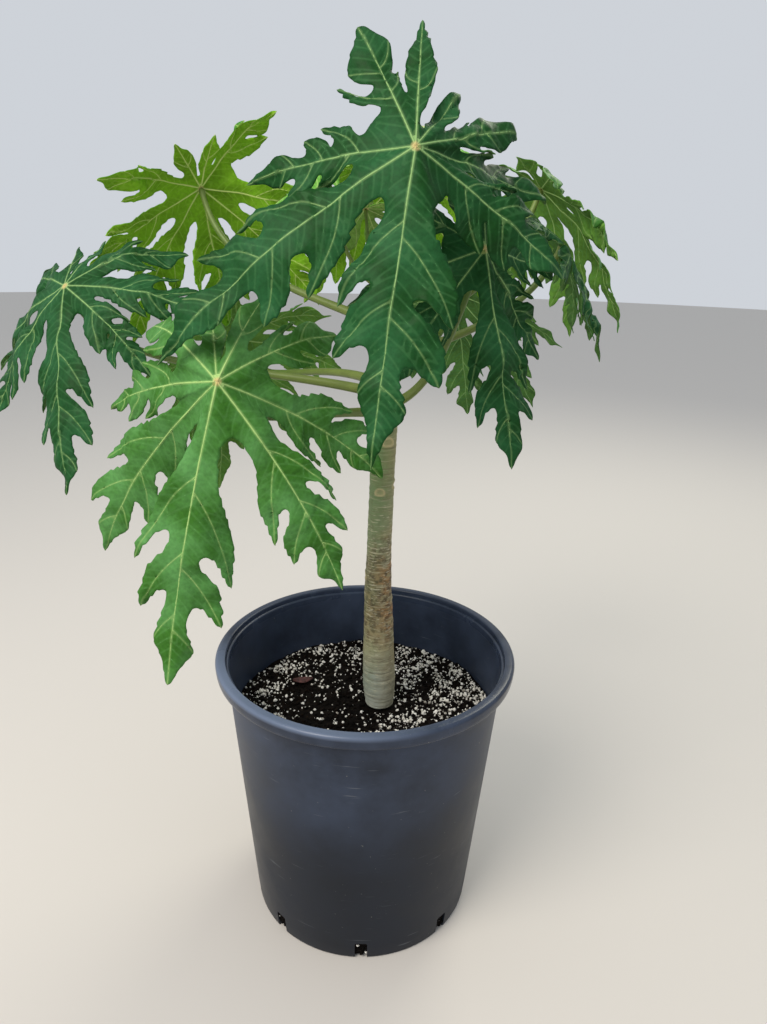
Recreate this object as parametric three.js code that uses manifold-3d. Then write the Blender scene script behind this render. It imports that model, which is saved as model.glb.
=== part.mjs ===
// A young papaya tree in a round nursery pot, filled with potting mix.
// Millimetres, +Z up, origin at the middle of the pot's flat underside. The crown's front is -Y.

import * as THREE from 'three';
import { mergeVertices } from 'three/addons/utils/BufferGeometryUtils.js';
import Module from 'manifold-3d';

const wasm = await Module();
wasm.setup();

const CLEARANCE = 0.3;

// Pot: a moulded shell with a rolled rim, and drain slots in the corner of wall and floor.
const POT_HEIGHT = 441;
const RIM_RADIUS = 230;
const RIM_DROP = 21;
const RIM_ROUND = 5;
const WALL_TOP_RADIUS = 213;
const WALL_FOOT_RADIUS = 177;
const POT_WALL = 3.2;
const POT_FLOOR = 4;
const INNER_LEDGE = 13;
const DRAIN_SLOTS = 8;
const SLOT_WIDTH = 19;
const SLOT_HEIGHT = 32;
const SLOT_INWARD = 17;
const POT_SEGMENTS = 48;

// Potting mix: it fills the pot up to a level a hand's breadth under the rim.
const SOIL_LEVEL = 343;

// Trunk: radius at heights above the soil, and the drift of its axis, both read from foot to tip.
const TRUNK_FOOT = SOIL_LEVEL + CLEARANCE;
const TRUNK_TIP = 1000;
const TRUNK_SEGMENTS = 18;
const TRUNK_GIRTH = [
  { above: 0, radius: 21.5 },
  { above: 12, radius: 23.8 },
  { above: 42, radius: 25.6 },
  { above: 85, radius: 24.2 },
  { above: 145, radius: 22.4 },
  { above: 200, radius: 20.4 },
  { above: 260, radius: 18.2 },
  { above: 350, radius: 17.9 },
  { above: 430, radius: 18.4 },
  { above: 500, radius: 18.8 },
  { above: 560, radius: 17.0 },
  { above: 610, radius: 13.5 },
  { above: 640, radius: 9.0 },
];
const TRUNK_AXIS = [
  { above: 0, x: 23.4 },
  { above: 200, x: 17.0 },
  { above: 350, x: 19.2 },
  { above: 490, x: 21.5 },
  { above: 660, x: 23.0 },
];

// Leaf stalks: round, swollen where they leave the trunk, slimmer towards the blade.
const STALK_BASE_RADIUS = 7.4;
const STALK_MID_RADIUS = 5.4;
const STALK_END_RADIUS = 4.0;
const STALK_MID_SHARE = 0.3;
const YOUNG_STALK_SHARE = 0.5;
const STALK_SIDES = 8;
const STALK_STEPS = 8;

// Blade: nine lobes in a palm, from the midrib (rank 0) round to the hindmost pair (rank 4).
const RIB_ANGLES = [0, 43, 81, 124, 163];
const RIB_REACH = [1, 0.96, 0.84, 0.62, 0.36];
const SINUS_REACH = [0.19, 0.21, 0.20, 0.15, 0.08];
const BLADE_THICKNESS_SHARE = 0.0145;
const LOBE_ROOM = 0.93;
const SINUS_INNER_SHARE = 0.55;
const VEIN_BOW = 0.2;
const FIRST_WAIST_BACK = 0.055;
const WAIST_BACK = 0.035;
const SUB_LOBES = [
  [
    { at: 0.32, reach: 0.36, lean: 34, wide: 0.080, neck: 0.078 },
    { at: 0.57, reach: 0.26, lean: 36, wide: 0.060, neck: 0.060 },
    { at: 0.78, reach: 0.12, lean: 36, neck: 0.044 },
  ],
  [
    { at: 0.34, reach: 0.34, lean: 33, wide: 0.076, neck: 0.072 },
    { at: 0.58, reach: 0.24, lean: 35, wide: 0.056, neck: 0.056 },
    { at: 0.78, reach: 0.11, lean: 36, neck: 0.042 },
  ],
  [
    { at: 0.36, reach: 0.31, lean: 34, wide: 0.068, neck: 0.064 },
    { at: 0.60, reach: 0.21, lean: 36, wide: 0.050, neck: 0.050 },
    { at: 0.77, reach: 0.10, lean: 36, neck: 0.036 },
  ],
  [
    { at: 0.42, reach: 0.27, lean: 35, wide: 0.052, neck: 0.054 },
    { at: 0.68, reach: 0.15, lean: 38, wide: 0.032, neck: 0.042 },
  ],
  [
    { at: 0.50, reach: 0.16, lean: 38, wide: 0.040, neck: 0.046 },
  ],
];

// How a blade hangs: each rib is stepped outwards and bends towards the ground as it goes.
const RIB_STEPS = 24;
const CUP_DEGREES = 9;
const FOLD_DEGREES = 9;
const MARGIN_CURL = 0.9;
const SIDEWAYS_BEND = 0.3;

// The crown, leaf by leaf. node: height on the trunk. azimuth, reach, height: where the blade is
// held, measured from the trunk's axis. facing: the way its slope runs down, tilt: how steep it is,
// spin: the midrib's turn from straight down that slope. length: the midrib. droop: bend per metre.
// early: how much nearer the stalk its lobes branch, splay: how much wider. breadth: a share of the
// usual breadth of its sub-lobes and waists. young: an opening leaf.
// lobes, by place from the midrib (0) to the hindmost pair (-4 and 4): turn in degrees from the
// usual angle, reach as a share of the usual length, cup in degrees under the blade's plane,
// branch, a share of the usual length of the sub-lobes, and notch, how far from the stalk the gap
// after the lobe ends, as a share of the midrib. stalk is told at buildStalk.
const CROWN = [
  { name: 'front', node: 950, azimuth: 274, reach: 250, height: 1126, facing: 260, tilt: 68, spin: 3,
    length: 300, droop: 2.5, breadth: 1.12, early: 0.07, splay: 12, seed: 1,
    stalk: { swing: -24, lift: 0.32, back: 0.3, under: 0.02 },
    lobes: { '-4': { turn: -18, reach: 1.46, cup: 10, notch: 0.2 },
      '-3': { turn: -31, reach: 0.84, cup: 6, branch: 1.35 },
      '-2': { turn: -13, reach: 0.78, cup: 13 }, '-1': { turn: -16, reach: 1.2, cup: 2 },
      0: { turn: -9, reach: 1.07, cup: 2 }, 1: { turn: 24, reach: 0.74, cup: 36 },
      2: { turn: 18, reach: 0.78, cup: 46 }, 3: { turn: -2, reach: 0.82, cup: 36 },
      4: { turn: -9, reach: 0.9, cup: 28 } } },
  { name: 'low_left', node: 812, azimuth: 234, reach: 308, height: 898, facing: 278, tilt: 75, spin: -11,
    length: 320, droop: 7, breadth: 0.82, seed: 2,
    lobes: { '-4': { cup: 28 }, '-3': { turn: -8, reach: 0.9, cup: 28 }, '-2': { reach: 0.8, cup: 42 },
      '-1': { turn: 2, cup: 44 }, 0: { turn: -6, reach: 1.1, cup: 2 }, 1: { turn: 5, reach: 0.9, cup: 8 },
      2: { reach: 0.96, cup: 26 }, 3: { turn: 7, reach: 0.84, cup: 18 } } },
  { name: 'far_left', node: 838, azimuth: 180, reach: 424, height: 974, facing: 235, tilt: 53, spin: 18,
    length: 265, droop: 5, seed: 3,
    lobes: { '-1': { turn: -6, reach: 0.86, cup: 3 }, 0: { turn: 3, reach: 1.1, cup: 4 },
      1: { turn: 8, reach: 0.8, cup: 3 } } },
  { name: 'right', node: 824, azimuth: 305, reach: 183, height: 1034, facing: 290, tilt: 74, spin: 9,
    length: 248, droop: 3, breadth: 0.9, seed: 4, stalk: { back: 0.22, under: 0.2 },
    lobes: { '-4': { turn: -5 }, '-3': { turn: -10, reach: 0.74, cup: 14 },
      '-2': { reach: 0.8, cup: 14 }, '-1': { reach: 0.85, cup: 30 }, 0: { cup: 4 },
      1: { reach: 0.85, cup: 36 },
      2: { reach: 0.85, cup: 28 }, 3: { cup: 24 } } },
  { name: 'upper_left', node: 930, azimuth: 145, reach: 342, height: 1106, facing: 128, tilt: 50, spin: -22,
    length: 285, droop: 3, seed: 5,
    lobes: { '-4': { cup: 2 }, '-3': { turn: -14, reach: 0.94, cup: 0 }, '-2': { cup: 24 }, '-1': { cup: 20 },
      3: { cup: 3 }, 4: { cup: 2 } } },
  { name: 'back', node: 905, azimuth: 86, reach: 300, height: 1128, facing: 86, tilt: 38, spin: 4,
    length: 280, droop: 3.5, seed: 6 },
  { name: 'back_right', node: 918, azimuth: 30, reach: 250, height: 1112, facing: 28, tilt: 44, spin: 3,
    length: 240, droop: 5, seed: 8 },
  { name: 'right_side', node: 890, azimuth: 3, reach: 230, height: 1040, facing: 356, tilt: 50, spin: -5,
    length: 165, droop: 5, seed: 7 },
  { name: 'low_back_left', node: 850, azimuth: 136, reach: 350, height: 880, facing: 136, tilt: 62, spin: 0,
    length: 280, droop: 4, seed: 9 },
  { name: 'low_back_right', node: 861, azimuth: 68, reach: 320, height: 955, facing: 62, tilt: 54, spin: 0,
    length: 250, droop: 3, breadth: 0.9, seed: 10 },
  { name: 'young_low', node: 968, azimuth: 110, reach: 95, height: 1080, facing: 110, tilt: 24, spin: 10,
    length: 120, droop: 4, seed: 12, young: true },
  { name: 'young_mid', node: 978, azimuth: 200, reach: 85, height: 1125, facing: 200, tilt: 26, spin: -6,
    length: 105, droop: 4, seed: 13, young: true },
  { name: 'young_top', node: 988, azimuth: 330, reach: 45, height: 1170, facing: 330, tilt: 20, spin: 5,
    length: 85, droop: 4, seed: 14, young: true },
];

const POT_BLACK = 0x2b3038;
const MIX_BROWN = 0x1e1916;
const BARK_GREY_GREEN = 0x7d775c;
const STALK_GREEN = 0x6e7944;
const LEAF_GREEN = 0x2f6a37;

function radians(degrees) {
  return degrees * Math.PI / 180;
}

// A repeatable offset between -1 and 1 for a leaf's seed and a counter.
function wobble(seed, counter) {
  const value = Math.sin(seed * 12.9898 + counter * 78.233) * 43758.5453;
  return 2 * (value - Math.floor(value)) - 1;
}

function smoothStep(low, high, value) {
  const share = Math.min(1, Math.max(0, (value - low) / (high - low)));
  return share * share * (3 - 2 * share);
}

// Linear interpolation in a list of rows, by the key that holds the position.
function readAlong(rows, place, value, position) {
  let upper = rows.findIndex((row) => row[place] >= position);
  if (upper < 0) upper = rows.length - 1;
  if (upper === 0) upper = 1;
  const from = rows[upper - 1];
  const to = rows[upper];
  const share = (position - from[place]) / (to[place] - from[place]);
  return from[value] + (to[value] - from[value]) * share;
}

function trunkAxisX(height) {
  return readAlong(TRUNK_AXIS, 'above', 'x', height - SOIL_LEVEL);
}

function solidOf(geometry) {
  const bare = geometry.clone();
  bare.deleteAttribute('normal');
  bare.deleteAttribute('uv');
  const merged = mergeVertices(bare, 1e-4);
  return new wasm.Manifold(new wasm.Mesh({
    numProp: 3,
    vertProperties: new Float32Array(merged.attributes.position.array),
    triVerts: new Uint32Array(merged.index.array),
  }));
}

function geometryOf(solid) {
  const mesh = solid.getMesh();
  const geometry = new THREE.BufferGeometry();
  geometry.setAttribute('position', new THREE.BufferAttribute(new Float32Array(mesh.vertProperties), 3));
  geometry.setIndex(new THREE.BufferAttribute(new Uint32Array(mesh.triVerts), 1));
  geometry.computeVertexNormals();
  return geometry;
}

function geometryFrom(points, triangles) {
  const geometry = new THREE.BufferGeometry();
  const positions = points.flatMap((point) => [point.x, point.y, point.z]);
  geometry.setAttribute('position', new THREE.Float32BufferAttribute(positions, 3));
  geometry.setIndex(triangles.flat());
  geometry.computeVertexNormals();
  return geometry;
}

// A lathe turned so that its axis is +Z.
function turned(profile, segments) {
  const points = profile.map(([radius, height]) => new THREE.Vector2(radius, height));
  return new THREE.LatheGeometry(points, segments).rotateX(Math.PI / 2);
}

function potWallRadius(height) {
  const share = height / (POT_HEIGHT - RIM_DROP);
  return WALL_FOOT_RADIUS + (WALL_TOP_RADIUS - WALL_FOOT_RADIUS) * share;
}

function buildPot() {
  const rimFoot = POT_HEIGHT - RIM_DROP;
  const ledge = POT_HEIGHT - INNER_LEDGE;
  const profile = [
    [0, 0],
    [WALL_FOOT_RADIUS - RIM_ROUND, 0],
    [potWallRadius(RIM_ROUND), RIM_ROUND],
    [potWallRadius(rimFoot), rimFoot],
    [RIM_RADIUS - 1, rimFoot],
    [RIM_RADIUS, rimFoot + RIM_ROUND],
    [RIM_RADIUS - 0.4 * RIM_ROUND, POT_HEIGHT - 0.4 * RIM_ROUND],
    [RIM_RADIUS - 1.4 * RIM_ROUND, POT_HEIGHT],
    [RIM_RADIUS - 2.6 * RIM_ROUND, POT_HEIGHT - 1],
    [RIM_RADIUS - 3.2 * RIM_ROUND, ledge],
    [potWallRadius(rimFoot) - POT_WALL, rimFoot],
    [potWallRadius(POT_FLOOR) - POT_WALL, POT_FLOOR],
    [0, POT_FLOOR],
  ];
  let shell = solidOf(turned(profile, POT_SEGMENTS));
  for (let slot = 0; slot < DRAIN_SLOTS; slot += 1) {
    const cutter = new THREE.BoxGeometry(2 * SLOT_INWARD, SLOT_WIDTH, 2 * SLOT_HEIGHT);
    cutter.translate(WALL_FOOT_RADIUS, 0, 0);
    cutter.rotateZ(radians(slot * 360 / DRAIN_SLOTS));
    shell = shell.subtract(solidOf(cutter));
  }
  return geometryOf(shell);
}

function buildSoil() {
  const floor = POT_FLOOR + CLEARANCE;
  const inset = POT_WALL + CLEARANCE;
  const profile = [
    [0, floor],
    [potWallRadius(floor) - inset - SLOT_INWARD, floor],
    [potWallRadius(SLOT_HEIGHT) - inset, SLOT_HEIGHT],
    [potWallRadius(SOIL_LEVEL) - inset, SOIL_LEVEL],
    [0, SOIL_LEVEL],
  ];
  return turned(profile, POT_SEGMENTS);
}

// The trunk is turned on a straight axis, then each ring is moved to the leaning axis.
// swell widens it evenly, for the seats of the stalks.
function buildTrunk(swell) {
  const rings = TRUNK_GIRTH.map((ring) => [ring.radius + swell, TRUNK_FOOT + ring.above]);
  const profile = [[0, TRUNK_FOOT], ...rings, [0, TRUNK_TIP]];
  const geometry = turned(profile, TRUNK_SEGMENTS);
  const position = geometry.attributes.position;
  for (let index = 0; index < position.count; index += 1) {
    position.setX(index, position.getX(index) + trunkAxisX(position.getZ(index)));
  }
  geometry.computeVertexNormals();
  return geometry;
}

// A round limb with the given radius at each step of its path, closed at both ends.
function taperedLimb(path, radiusAt, sides, steps) {
  const frames = path.computeFrenetFrames(steps, false);
  const points = [];
  const triangles = [];
  for (let step = 0; step <= steps; step += 1) {
    const centre = path.getPointAt(step / steps);
    for (let side = 0; side < sides; side += 1) {
      const turn = side * 2 * Math.PI / sides;
      const offset = frames.normals[step].clone().multiplyScalar(Math.cos(turn))
        .addScaledVector(frames.binormals[step], Math.sin(turn));
      points.push(centre.clone().addScaledVector(offset, radiusAt(step / steps)));
    }
  }
  for (let step = 0; step < steps; step += 1) {
    for (let side = 0; side < sides; side += 1) {
      const next = (side + 1) % sides;
      const corner = step * sides;
      triangles.push([corner + side, corner + next, corner + sides + side]);
      triangles.push([corner + next, corner + sides + next, corner + sides + side]);
    }
  }
  const first = points.length;
  points.push(path.getPointAt(0), path.getPointAt(1));
  const last = steps * sides;
  for (let side = 0; side < sides; side += 1) {
    const next = (side + 1) % sides;
    triangles.push([first, next, side]);
    triangles.push([first + 1, last + side, last + next]);
  }
  return geometryFrom(points, triangles);
}

// Where and how a blade is held: its centre, the midrib's way, the way across, and the upper side.
function bladeSeat(leaf) {
  const azimuth = radians(leaf.azimuth);
  const facing = radians(leaf.facing);
  const tilt = radians(leaf.tilt);
  const centre = new THREE.Vector3(
    trunkAxisX(leaf.node) + leaf.reach * Math.cos(azimuth), leaf.reach * Math.sin(azimuth), leaf.height);
  const upper = new THREE.Vector3(
    Math.cos(facing) * Math.sin(tilt), Math.sin(facing) * Math.sin(tilt), Math.cos(tilt));
  const midrib = new THREE.Vector3(
    Math.cos(facing) * Math.cos(tilt), Math.sin(facing) * Math.cos(tilt), -Math.sin(tilt));
  midrib.applyAxisAngle(upper, radians(leaf.spin));
  const across = upper.clone().cross(midrib);
  return { centre, midrib, across, upper };
}

// The nine lobes in order round the leaf, each with its angle, length and rank.
function lobesOf(leaf) {
  const lobes = [];
  for (let place = -4; place <= 4; place += 1) {
    const rank = Math.abs(place);
    const own = (leaf.lobes ?? {})[place] ?? {};
    const { turn = 0, reach = 1, cup = CUP_DEGREES, branch = 1, notch } = own;
    const angle = Math.sign(place) * RIB_ANGLES[rank] + turn + 2 * wobble(leaf.seed, place + 10);
    const share = reach * RIB_REACH[rank] * (1 + 0.04 * wobble(leaf.seed, place + 20));
    const length = leaf.length * share;
    lobes.push({ rank, branch, notch, angle: radians(angle), length, cup: radians(cup) });
  }
  return lobes;
}

// A rib as a row of stations: it starts in the blade's plane, a little below it, and bends down.
function bendRib(leaf, seat, lobe, place) {
  const way = seat.midrib.clone().multiplyScalar(Math.cos(lobe.angle))
    .addScaledVector(seat.across, Math.sin(lobe.angle)).multiplyScalar(Math.cos(lobe.cup))
    .addScaledVector(seat.upper, -Math.sin(lobe.cup));
  let side = seat.across.clone().multiplyScalar(Math.cos(lobe.angle))
    .addScaledVector(seat.midrib, -Math.sin(lobe.angle));
  const step = 1.05 * lobe.length / RIB_STEPS;
  const under = lobe.rank % 2 === 1 ? 1.35 : 1;
  const bend = leaf.droop / 1000 * under * (1 + 0.15 * wobble(leaf.seed, place + 30));
  const point = seat.centre.clone();
  const down = new THREE.Vector3(0, 0, -1);
  const stations = [];
  for (let index = 0; index <= RIB_STEPS; index += 1) {
    const upper = way.clone().cross(side);
    stations.push({ point: point.clone(), side: side.clone(), upper });
    point.addScaledVector(way, step);
    const turn = bend * step * (0.35 + 1.3 * index / RIB_STEPS);
    way.addScaledVector(upper, turn * down.dot(upper))
      .addScaledVector(side, SIDEWAYS_BEND * turn * down.dot(side)).normalize();
    side = side.addScaledVector(way, -side.dot(way)).normalize();
  }
  return { stations, step };
}

// A point of a lobe, along its rib and across it, with a shallow ridge at the rib.
function placeOnRib(leaf, rib, along, across) {
  const place = Math.min(RIB_STEPS - 1e-6, Math.max(0, along / rib.step));
  const index = Math.floor(place);
  const share = place - index;
  const from = rib.stations[index];
  const to = rib.stations[index + 1];
  const side = from.side.clone().lerp(to.side, share);
  const upper = from.upper.clone().lerp(to.upper, share);
  const fold = radians(FOLD_DEGREES) * smoothStep(0, 0.25 * leaf.length, along);
  const curl = MARGIN_CURL * across * across / leaf.length;
  return from.point.clone().lerp(to.point, share)
    .addScaledVector(side, across * Math.cos(fold))
    .addScaledVector(upper, -Math.abs(across) * Math.sin(fold) - curl);
}

// A point beside a sub-lobe's vein: the vein leaves the rib steeply and bows towards the lobe's tip.
function besideVein(at, reach, lean, share, offset) {
  const turn = lean + VEIN_BOW * (1 - share);
  const heading = lean + VEIN_BOW * (0.6 - 2 * share);
  return [
    at + share * reach * Math.cos(turn) - offset * Math.sin(heading),
    share * reach * Math.sin(turn) + offset * Math.cos(heading),
  ];
}

// A young leaf has one pair of sub-lobes on each lobe.
function subLobesOf(leaf, lobe) {
  return leaf.young ? SUB_LOBES[lobe.rank].slice(0, 1) : SUB_LOBES[lobe.rank];
}

// A lobe cut short is slimmer in proportion.
function lobeSize(leaf, lobe) {
  return Math.min(leaf.length, lobe.length / RIB_REACH[lobe.rank]);
}

// Where a sub-lobe's vein leaves the rib, and where the waist before it lies.
function subLobeStart(leaf, lobe, index, stagger, notch) {
  const size = lobeSize(leaf, lobe);
  const share = SUB_LOBES[lobe.rank][index].at + stagger - (leaf.early ?? 0);
  const at = Math.max(lobe.length * share, notch + 0.03 * size);
  const back = index > 0 ? WAIST_BACK : FIRST_WAIST_BACK;
  return { at, waist: Math.max(at - back * size, notch + 0.02 * size) };
}

// One side of a lobe in cells, each from a waist round a sub-lobe to the next waist or the tip.
function lobeCells(leaf, lobe, side, place, notch) {
  const size = lobeSize(leaf, lobe);
  const stagger = 0.025 * side * (place % 2 === 0 ? 1 : -1);
  const rows = subLobesOf(leaf, lobe);
  const starts = rows.map((sub, index) => subLobeStart(leaf, lobe, index, stagger, notch));
  const breadth = (leaf.breadth ?? 1) * size;
  const waists = rows.map((sub, index) => [starts[index].waist, sub.neck * breadth]);
  return rows.map((sub, index) => {
    const counter = place * 8 + side * 4 + index;
    const { at } = starts[index];
    const fullReach = sub.reach * Math.sqrt(size * lobe.length) * lobe.branch;
    const reach = fullReach * (1 + 0.1 * wobble(leaf.seed, counter + 50));
    const lean = radians(sub.lean + (leaf.splay ?? 0) + 4 * wobble(leaf.seed, counter + 70));
    const tip = besideVein(at, reach, lean, 1, 0);
    const cell = [waists[index]];
    if (sub.wide) cell.push(besideVein(at, reach, lean, 0.55, sub.wide * breadth));
    cell.push(tip);
    if (index < rows.length - 1) {
      const inner = besideVein(at, reach, lean, 0.6, -0.9 * sub.wide * breadth);
      cell.push([Math.min(inner[0], waists[index + 1][0] - 0.012 * size), inner[1]], waists[index + 1]);
    } else {
      cell.push([tip[0] + 0.45 * (lobe.length - tip[0]), 0.4 * tip[1]]);
    }
    return cell;
  });
}

// The rib's stations: at each waist, half way between them, and at the tip.
function ribStations(leaf, lobe) {
  const notch = 0.2 * leaf.length * Math.min(1, lobe.length / (0.6 * leaf.length));
  const rows = subLobesOf(leaf, lobe);
  const waists = rows.map((sub, index) => subLobeStart(leaf, lobe, index, 0, 0.9 * notch).waist);
  return [...waists, lobe.length].flatMap((along, index, row) => (
    index > 0 ? [0.5 * (row[index - 1] + along), along] : [along]));
}

// The angle between two neighbouring lobes, and how far out the notch between them lies.
function gapAfter(leaf, lobes, index) {
  const next = (index + 1) % lobes.length;
  const round = next === 0 ? 2 * Math.PI : 0;
  const rank = next === 0 ? lobes[0].rank : Math.min(lobes[index].rank, lobes[next].rank);
  const radius = (lobes[index].notch ?? SINUS_REACH[rank]) * leaf.length;
  return { angle: lobes[next].angle + round - lobes[index].angle, radius };
}

// A palm near the stalk, where neighbouring lobes share the surface, and free lobes beyond.
function placeOnBlade(leaf, blade, index, side, along, across) {
  const own = placeOnRib(leaf, blade.ribs[index], along, side * across);
  const count = blade.ribs.length;
  const gap = blade.gaps[side > 0 ? index : (index + count - 1) % count];
  const radius = Math.hypot(along, across);
  const turn = Math.atan2(across, along);
  const nearness = Math.min(1, turn / (0.5 * gap.angle));
  const share = 0.5 * nearness ** 3 * (1 - smoothStep(gap.radius, 1.7 * gap.radius, radius));
  if (share <= 0) return own;
  const rest = gap.angle - turn;
  const neighbour = blade.ribs[(index + side + count) % count];
  const far = placeOnRib(leaf, neighbour, radius * Math.cos(rest), -side * radius * Math.sin(rest));
  return own.lerp(far, share);
}

// The blade is laid out half a lobe at a time: a cell from the stalk to the first waist and the
// notch, then a cell for each sub-lobe.
function buildBlade(leaf, extra) {
  const seat = bladeSeat(leaf);
  const lobes = lobesOf(leaf);
  const blade = {
    ribs: lobes.map((lobe, index) => bendRib(leaf, seat, lobe, index)),
    gaps: lobes.map((lobe, index) => gapAfter(leaf, lobes, index)),
  };
  const surface = [];
  function keep(index, side, [along, across]) {
    const id = surface.length;
    surface.push(placeOnBlade(leaf, blade, index, side, along, across));
    return { id, along, across };
  }
  const centre = keep(0, 1, [0, 0]);
  const ribs = lobes.map((lobe, index) => ribStations(leaf, lobe).map((along) => keep(index, 1, [along, 0])));
  const seams = blade.gaps.map((gap, index) => [1, SINUS_INNER_SHARE].map((share) => keep(index, 1, [
    share * gap.radius * Math.cos(0.5 * gap.angle), share * gap.radius * Math.sin(0.5 * gap.angle)])));

  const triangles = [];
  lobes.forEach((lobe, index) => {
    for (const side of [-1, 1]) {
      const gap = side > 0 ? index : (index + lobes.length - 1) % lobes.length;
      const room = 0.5 * blade.gaps[gap].angle * LOBE_ROOM;
      const squeezed = ([along, across]) => {
        const radius = Math.hypot(along, across);
        const turn = room * Math.tanh(Math.atan2(across, along) / room);
        return [radius * Math.cos(turn), radius * Math.sin(turn)];
      };
      const rows = lobeCells(leaf, lobe, side, index, seams[gap][0].along);
      let waist = keep(index, side, squeezed(rows[0][0]));
      const loops = [[centre, ribs[index][0], waist, ...seams[gap]]];
      rows.forEach((row, step) => {
        const edge = row.slice(1).map((point) => keep(index, side, squeezed(point)));
        loops.push([...ribs[index].slice(2 * step, 2 * step + 3), ...edge.reverse(), waist]);
        [waist] = edge;
      });
      for (const loop of loops) {
        const flat = loop.map(({ along, across }) => new THREE.Vector2(along, across));
        for (const [a, b, c] of THREE.ShapeUtils.triangulateShape(flat, [])) {
          const [first, second, third] = [loop[a].id, loop[b].id, loop[c].id];
          triangles.push(side > 0 ? [first, second, third] : [first, third, second]);
        }
      }
    }
  });
  return thicken(surface, triangles, 0.5 * (leaf.length * BLADE_THICKNESS_SHARE + extra));
}

// A closed plate from an open surface: both faces, and a wall along every free edge.
function thicken(surface, triangles, half) {
  const normals = surface.map(() => new THREE.Vector3());
  for (const [a, b, c] of triangles) {
    const normal = surface[b].clone().sub(surface[a]).cross(surface[c].clone().sub(surface[a]));
    for (const id of [a, b, c]) normals[id].add(normal);
  }
  normals.forEach((normal) => normal.normalize());
  const count = surface.length;
  const upper = surface.map((point, id) => point.clone().addScaledVector(normals[id], half));
  const lower = surface.map((point, id) => point.clone().addScaledVector(normals[id], -half));
  const faces = [];
  const free = new Map();
  for (const [a, b, c] of triangles) {
    faces.push([a, b, c], [count + a, count + c, count + b]);
    for (const [from, to] of [[a, b], [b, c], [c, a]]) {
      if (!free.delete(`${to} ${from}`)) free.set(`${from} ${to}`, [from, to]);
    }
  }
  for (const [from, to] of free.values()) {
    faces.push([from, count + from, count + to], [from, count + to, to]);
  }
  return geometryFrom([...upper, ...lower], faces);
}

// A stalk leaves the trunk outwards, bows upwards and meets the blade from behind. swing: how far it
// leaves to one side of its blade, lift: its rise near the trunk, back and under: how far behind and
// below the blade it comes in. The last three are shares of its span.
function buildStalk(leaf, trunkSeat) {
  const { swing = 0, lift = 0.1, back = 0.16, under = 0.2 } = leaf.stalk ?? {};
  const seat = bladeSeat(leaf);
  const azimuth = radians(leaf.azimuth + swing);
  const start = new THREE.Vector3(trunkAxisX(leaf.node), 0, leaf.node);
  const span = start.distanceTo(seat.centre);
  const outward = new THREE.Vector3(Math.cos(azimuth), Math.sin(azimuth), 0);
  const leave = start.clone().addScaledVector(outward, 0.4 * span);
  leave.z += lift * span;
  const end = seat.centre.clone()
    .addScaledVector(seat.upper, -0.5 * leaf.length * BLADE_THICKNESS_SHARE - CLEARANCE);
  const arrive = end.clone().addScaledVector(seat.upper, -back * span);
  arrive.z -= under * span;
  const path = new THREE.CubicBezierCurve3(start, leave, arrive, end);
  const slim = leaf.young ? YOUNG_STALK_SHARE : 1;
  const girth = [
    { share: 0, radius: STALK_BASE_RADIUS },
    { share: STALK_MID_SHARE, radius: STALK_MID_RADIUS },
    { share: 1, radius: STALK_END_RADIUS },
  ];
  const radiusAt = (share) => slim * readAlong(girth, 'share', 'radius', share);
  const whole = solidOf(taperedLimb(path, radiusAt, STALK_SIDES, STALK_STEPS));
  const bladeRoom = solidOf(buildBlade(leaf, 2 * CLEARANCE));
  return geometryOf(whole.subtract(trunkSeat).subtract(bladeRoom));
}

function part(name, geometry, color, roughness, metalness = 0) {
  const mesh = new THREE.Mesh(geometry, new THREE.MeshStandardMaterial({ color, roughness, metalness }));
  mesh.name = name;
  return mesh;
}

const tree = new THREE.Group();
tree.add(part('pot', buildPot(), POT_BLACK, 0.5));
tree.add(part('potting_mix', buildSoil(), MIX_BROWN, 0.95));
tree.add(part('trunk', buildTrunk(0), BARK_GREY_GREEN, 0.7));
const trunkSeat = solidOf(buildTrunk(CLEARANCE));
for (const leaf of CROWN) {
  tree.add(part(`stalk_${leaf.name}`, buildStalk(leaf, trunkSeat), STALK_GREEN, 0.5));
  tree.add(part(`blade_${leaf.name}`, buildBlade(leaf, 0), LEAF_GREEN, 0.45));
}

export default tree;
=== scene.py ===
"""Dresses the solids of a young papaya tree in a nursery pot with fine leaves, stalks, bark and pot."""

import math

import bpy
import numpy as np
from bpy.props import FloatProperty, FloatVectorProperty, IntProperty, PointerProperty
from mathutils import Matrix, Vector, noise
from mathutils.geometry import delaunay_2d_cdt
from mathutils.kdtree import KDTree


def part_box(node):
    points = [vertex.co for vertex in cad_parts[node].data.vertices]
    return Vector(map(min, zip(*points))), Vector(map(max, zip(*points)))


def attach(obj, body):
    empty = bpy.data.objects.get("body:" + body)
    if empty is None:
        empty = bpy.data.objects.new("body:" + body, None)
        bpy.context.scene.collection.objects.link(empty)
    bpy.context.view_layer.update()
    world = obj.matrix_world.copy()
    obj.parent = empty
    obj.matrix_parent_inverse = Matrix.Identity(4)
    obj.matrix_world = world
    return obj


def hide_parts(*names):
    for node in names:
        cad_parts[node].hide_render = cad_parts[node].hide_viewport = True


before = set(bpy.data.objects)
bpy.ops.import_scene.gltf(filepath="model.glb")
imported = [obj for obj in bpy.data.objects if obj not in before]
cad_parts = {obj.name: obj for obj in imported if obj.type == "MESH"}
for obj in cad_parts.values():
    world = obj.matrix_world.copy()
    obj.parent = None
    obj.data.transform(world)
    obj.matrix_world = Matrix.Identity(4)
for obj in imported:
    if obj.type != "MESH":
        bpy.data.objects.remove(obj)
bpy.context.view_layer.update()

bl_info = {
    "name": "Potted papaya tree",
    "version": (1, 0, 0),
    "blender": (4, 5, 0),
    "location": "3D View > Sidebar > Papaya",
    "description": "Grows a young papaya tree in a nursery pot round its packed solids",
    "category": "Add Mesh",
}

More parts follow.
